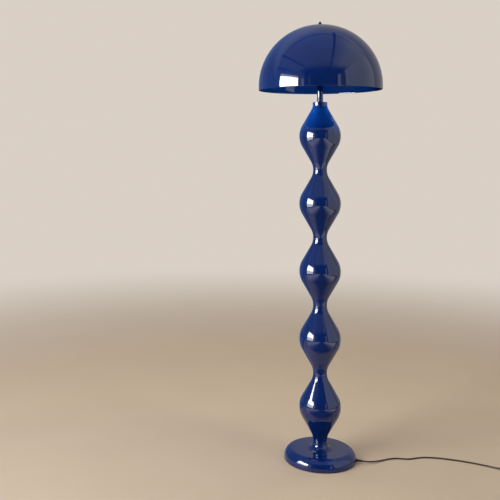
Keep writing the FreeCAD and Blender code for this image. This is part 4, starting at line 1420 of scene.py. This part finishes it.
def makeHolderBody(number):
    joint = holder["joint"]
    front = holder["front"]
    outer = holder["radius"]
    outline = [(holder["leadHole"], joint)]
    outline += smallRound((outer, joint), holder["edge"], -90, 3)
    outline += ribbed(holder["ringStart"], holder["ringEnd"], outer, outer, holder["rings"],
                      holder["ringDepth"])
    outline += smallRound((outer, front), holder["edge"], 0, 3)
    bore = holder["bore"]
    outline += [(bore + holder["mouthEdge"], front), (bore, front - holder["mouthEdge"]),
                (bore, holder["floor"]), (holder["leadHole"], holder["floor"])]
    cup = alongPort(lathe(f"holderBody{number}", outline, closed=True, turns=96), number)
    return finish(smooth(cup, 40), "lamp", "holder_plastic", f"holder_body_{number}")


def makeBulbCap(number):
    tip = bulb["tip"]
    coneStart = tip + bulb["tipLength"]
    coneEnd = coneStart + bulb["cone"]
    outline = [(0.0, tip)]
    outline += smallRound((bulb["tipRadius"], tip), bulb["tipEdge"], -90, 4)
    outline += [(bulb["tipRadius"], coneStart)]
    outline += ribbed(coneEnd, bulb["socket"], bulb["radius"], bulb["radius"], bulb["threads"],
                      bulb["threadDepth"])
    outline += [(bulb["radius"], bulb["mouth"]), (bulb["sleeve"], bulb["mouth"]),
                (bulb["sleeve"], bulb["socket"]), (0.0, bulb["socket"])]
    cap = alongPort(lathe(f"bulbCap{number}", outline, closed=True, turns=96), number)
    return finish(smooth(cap, 40), f"bulb_{number}", "bulb_cap", f"bulb_cap_{number}")


def makeBulbGlass(number):
    # ball, cone that touches it, a soft bend and the straight neck
    neck = bulb["neck"]
    centre = bulb["centre"]
    corner = bulb["neckEnd"]
    apart = math.hypot(centre - corner, neck)
    lean = math.degrees(math.atan2(neck, corner - centre) - math.acos(bulb["ball"] / apart)) - 90
    back = bulb["bend"] * math.tan(math.radians(lean / 2))
    outline = arc((0.0, centre), bulb["ball"], 90, -lean, 40)
    outline += arc((neck + bulb["bend"], corner - back), bulb["bend"], 180 - lean, 180, 8)
    outline += [(neck, bulb["socket"])]
    glass = lathe(f"bulbGlass{number}", outline, turns=96)
    applyModifier(glass, "SOLIDIFY", thickness=bulb["wall"], offset=-1.0)
    alongPort(glass, number)
    return finish(smooth(glass, 60), f"bulb_{number}", "bulb_glass",
                  f"bulb_glass_{number}")


hub = {
    "radius": 0.019,
    "inner": 0.0165,
    "floor": 0.004,
    "bore": 0.0067,
    "spigot": 0.0093,
    "spigotLength": 0.004,
    "edge": 0.0016,
    "groove": 0.0004,
    "boss": 0.008,
    "bossLength": 0.006,
    "lidEdge": 0.0012,
    "lidBore": 0.00405,
    "port": 0.00505,
}


def makeHub():
    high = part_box("hub_body")[1].z
    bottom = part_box("neck_tube")[1].z
    spigotEnd = bottom - hub["spigotLength"]
    outline = [(hub["bore"], spigotEnd), (hub["spigot"], spigotEnd), (hub["spigot"], bottom)]
    outline += smallRound((hub["radius"], bottom), hub["edge"], -90, 6)
    outline += smallRound((hub["radius"], high), hub["groove"], 0, 2)
    outline += [(hub["inner"], high), (hub["inner"], bottom + hub["floor"]),
                (hub["bore"], bottom + hub["floor"])]
    body = lathe("hubBody", outline, closed=True, turns=128)
    cut(body, addRod(hub["port"], 0.1, (0, 0, portLevel()), (0, 90, 0)))
    return finish(smooth(body, 40), "lamp", "chrome", "hub_body")


def makeHubLid():
    low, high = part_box("hub_lid")
    seam = low.z + hub["bossLength"]
    outline = [(hub["lidBore"], low.z), (hub["boss"], low.z), (hub["boss"], seam)]
    outline += smallRound((hub["radius"], seam), hub["groove"], -90, 2)
    outline += smallRound((hub["radius"], high.z), hub["lidEdge"], 0, 5)
    outline += [(hub["lidBore"], high.z)]
    return spun("hubLid", outline, "lamp", "chrome", "hub_lid", turns=128)


rodFacts = {"radius": 0.004, "thread": 0.00125, "threadDepth": 0.0004, "upper": 0.020,
            "lower": 0.012, "tip": 0.0006}


def makeShadeRod():
    # a plain rod with thread rings at both ends
    low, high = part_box("shade_rod")
    radius = rodFacts["radius"]
    tip = rodFacts["tip"]
    outline = [(0.0, low.z), (radius - tip, low.z)]
    outline += ribbed(low.z + tip, low.z + rodFacts["lower"], radius, radius,
                      int(rodFacts["lower"] / rodFacts["thread"]), rodFacts["threadDepth"])
    outline += ribbed(high.z - rodFacts["upper"], high.z - tip, radius, radius,
                      int(rodFacts["upper"] / rodFacts["thread"]), rodFacts["threadDepth"])
    outline += [(radius - tip, high.z), (0.0, high.z)]
    return spun("shadeRod", outline, "lamp", "steel", "shade_rod", turns=64)


padFacts = {"insideFromPlate": 0.0302, "lowerEdge": 0.0006, "upperEdge": 0.0003}


def makeBasePad():
    low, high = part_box("base_pad")
    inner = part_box("base_plate")[1].x - padFacts["insideFromPlate"]
    outline = smallRound((high.x, low.z), padFacts["lowerEdge"], -90, 3)
    outline += smallRound((high.x, high.z), padFacts["upperEdge"], 0, 2)
    outline += smallRound((inner, high.z), padFacts["upperEdge"], 90, 2)
    outline += smallRound((inner, low.z), padFacts["lowerEdge"], 180, 3)
    return spun("basePad", outline, "lamp", "felt", "base_pad", turns=160)


print("hub, lampholders and bulbs")
makeHub()
makeHubLid()
makeShadeRod()
makeBasePad()
for holderNumber in (1, 2):
    makeHolderCap(holderNumber)
    makeHolderBody(holderNumber)
    makeBulbCap(holderNumber)
    makeBulbGlass(holderNumber)


onMains = [reliefIn, switchButton, switchScrews, switchSpring]
onMains += [nodes[name] for name in ("switch_base", "switch_cover", "switch_core")]
routeOne()[0]
routeTwo()[0]


# ---------- the rest of the solids keep their shape

print("remaining solids")
for part in frame["record"]["subparts"]:
    solid = nodes[part["node"]]
    solid.data.materials.clear()
    solid.data.materials.append(finishes[part["material_slot"]])
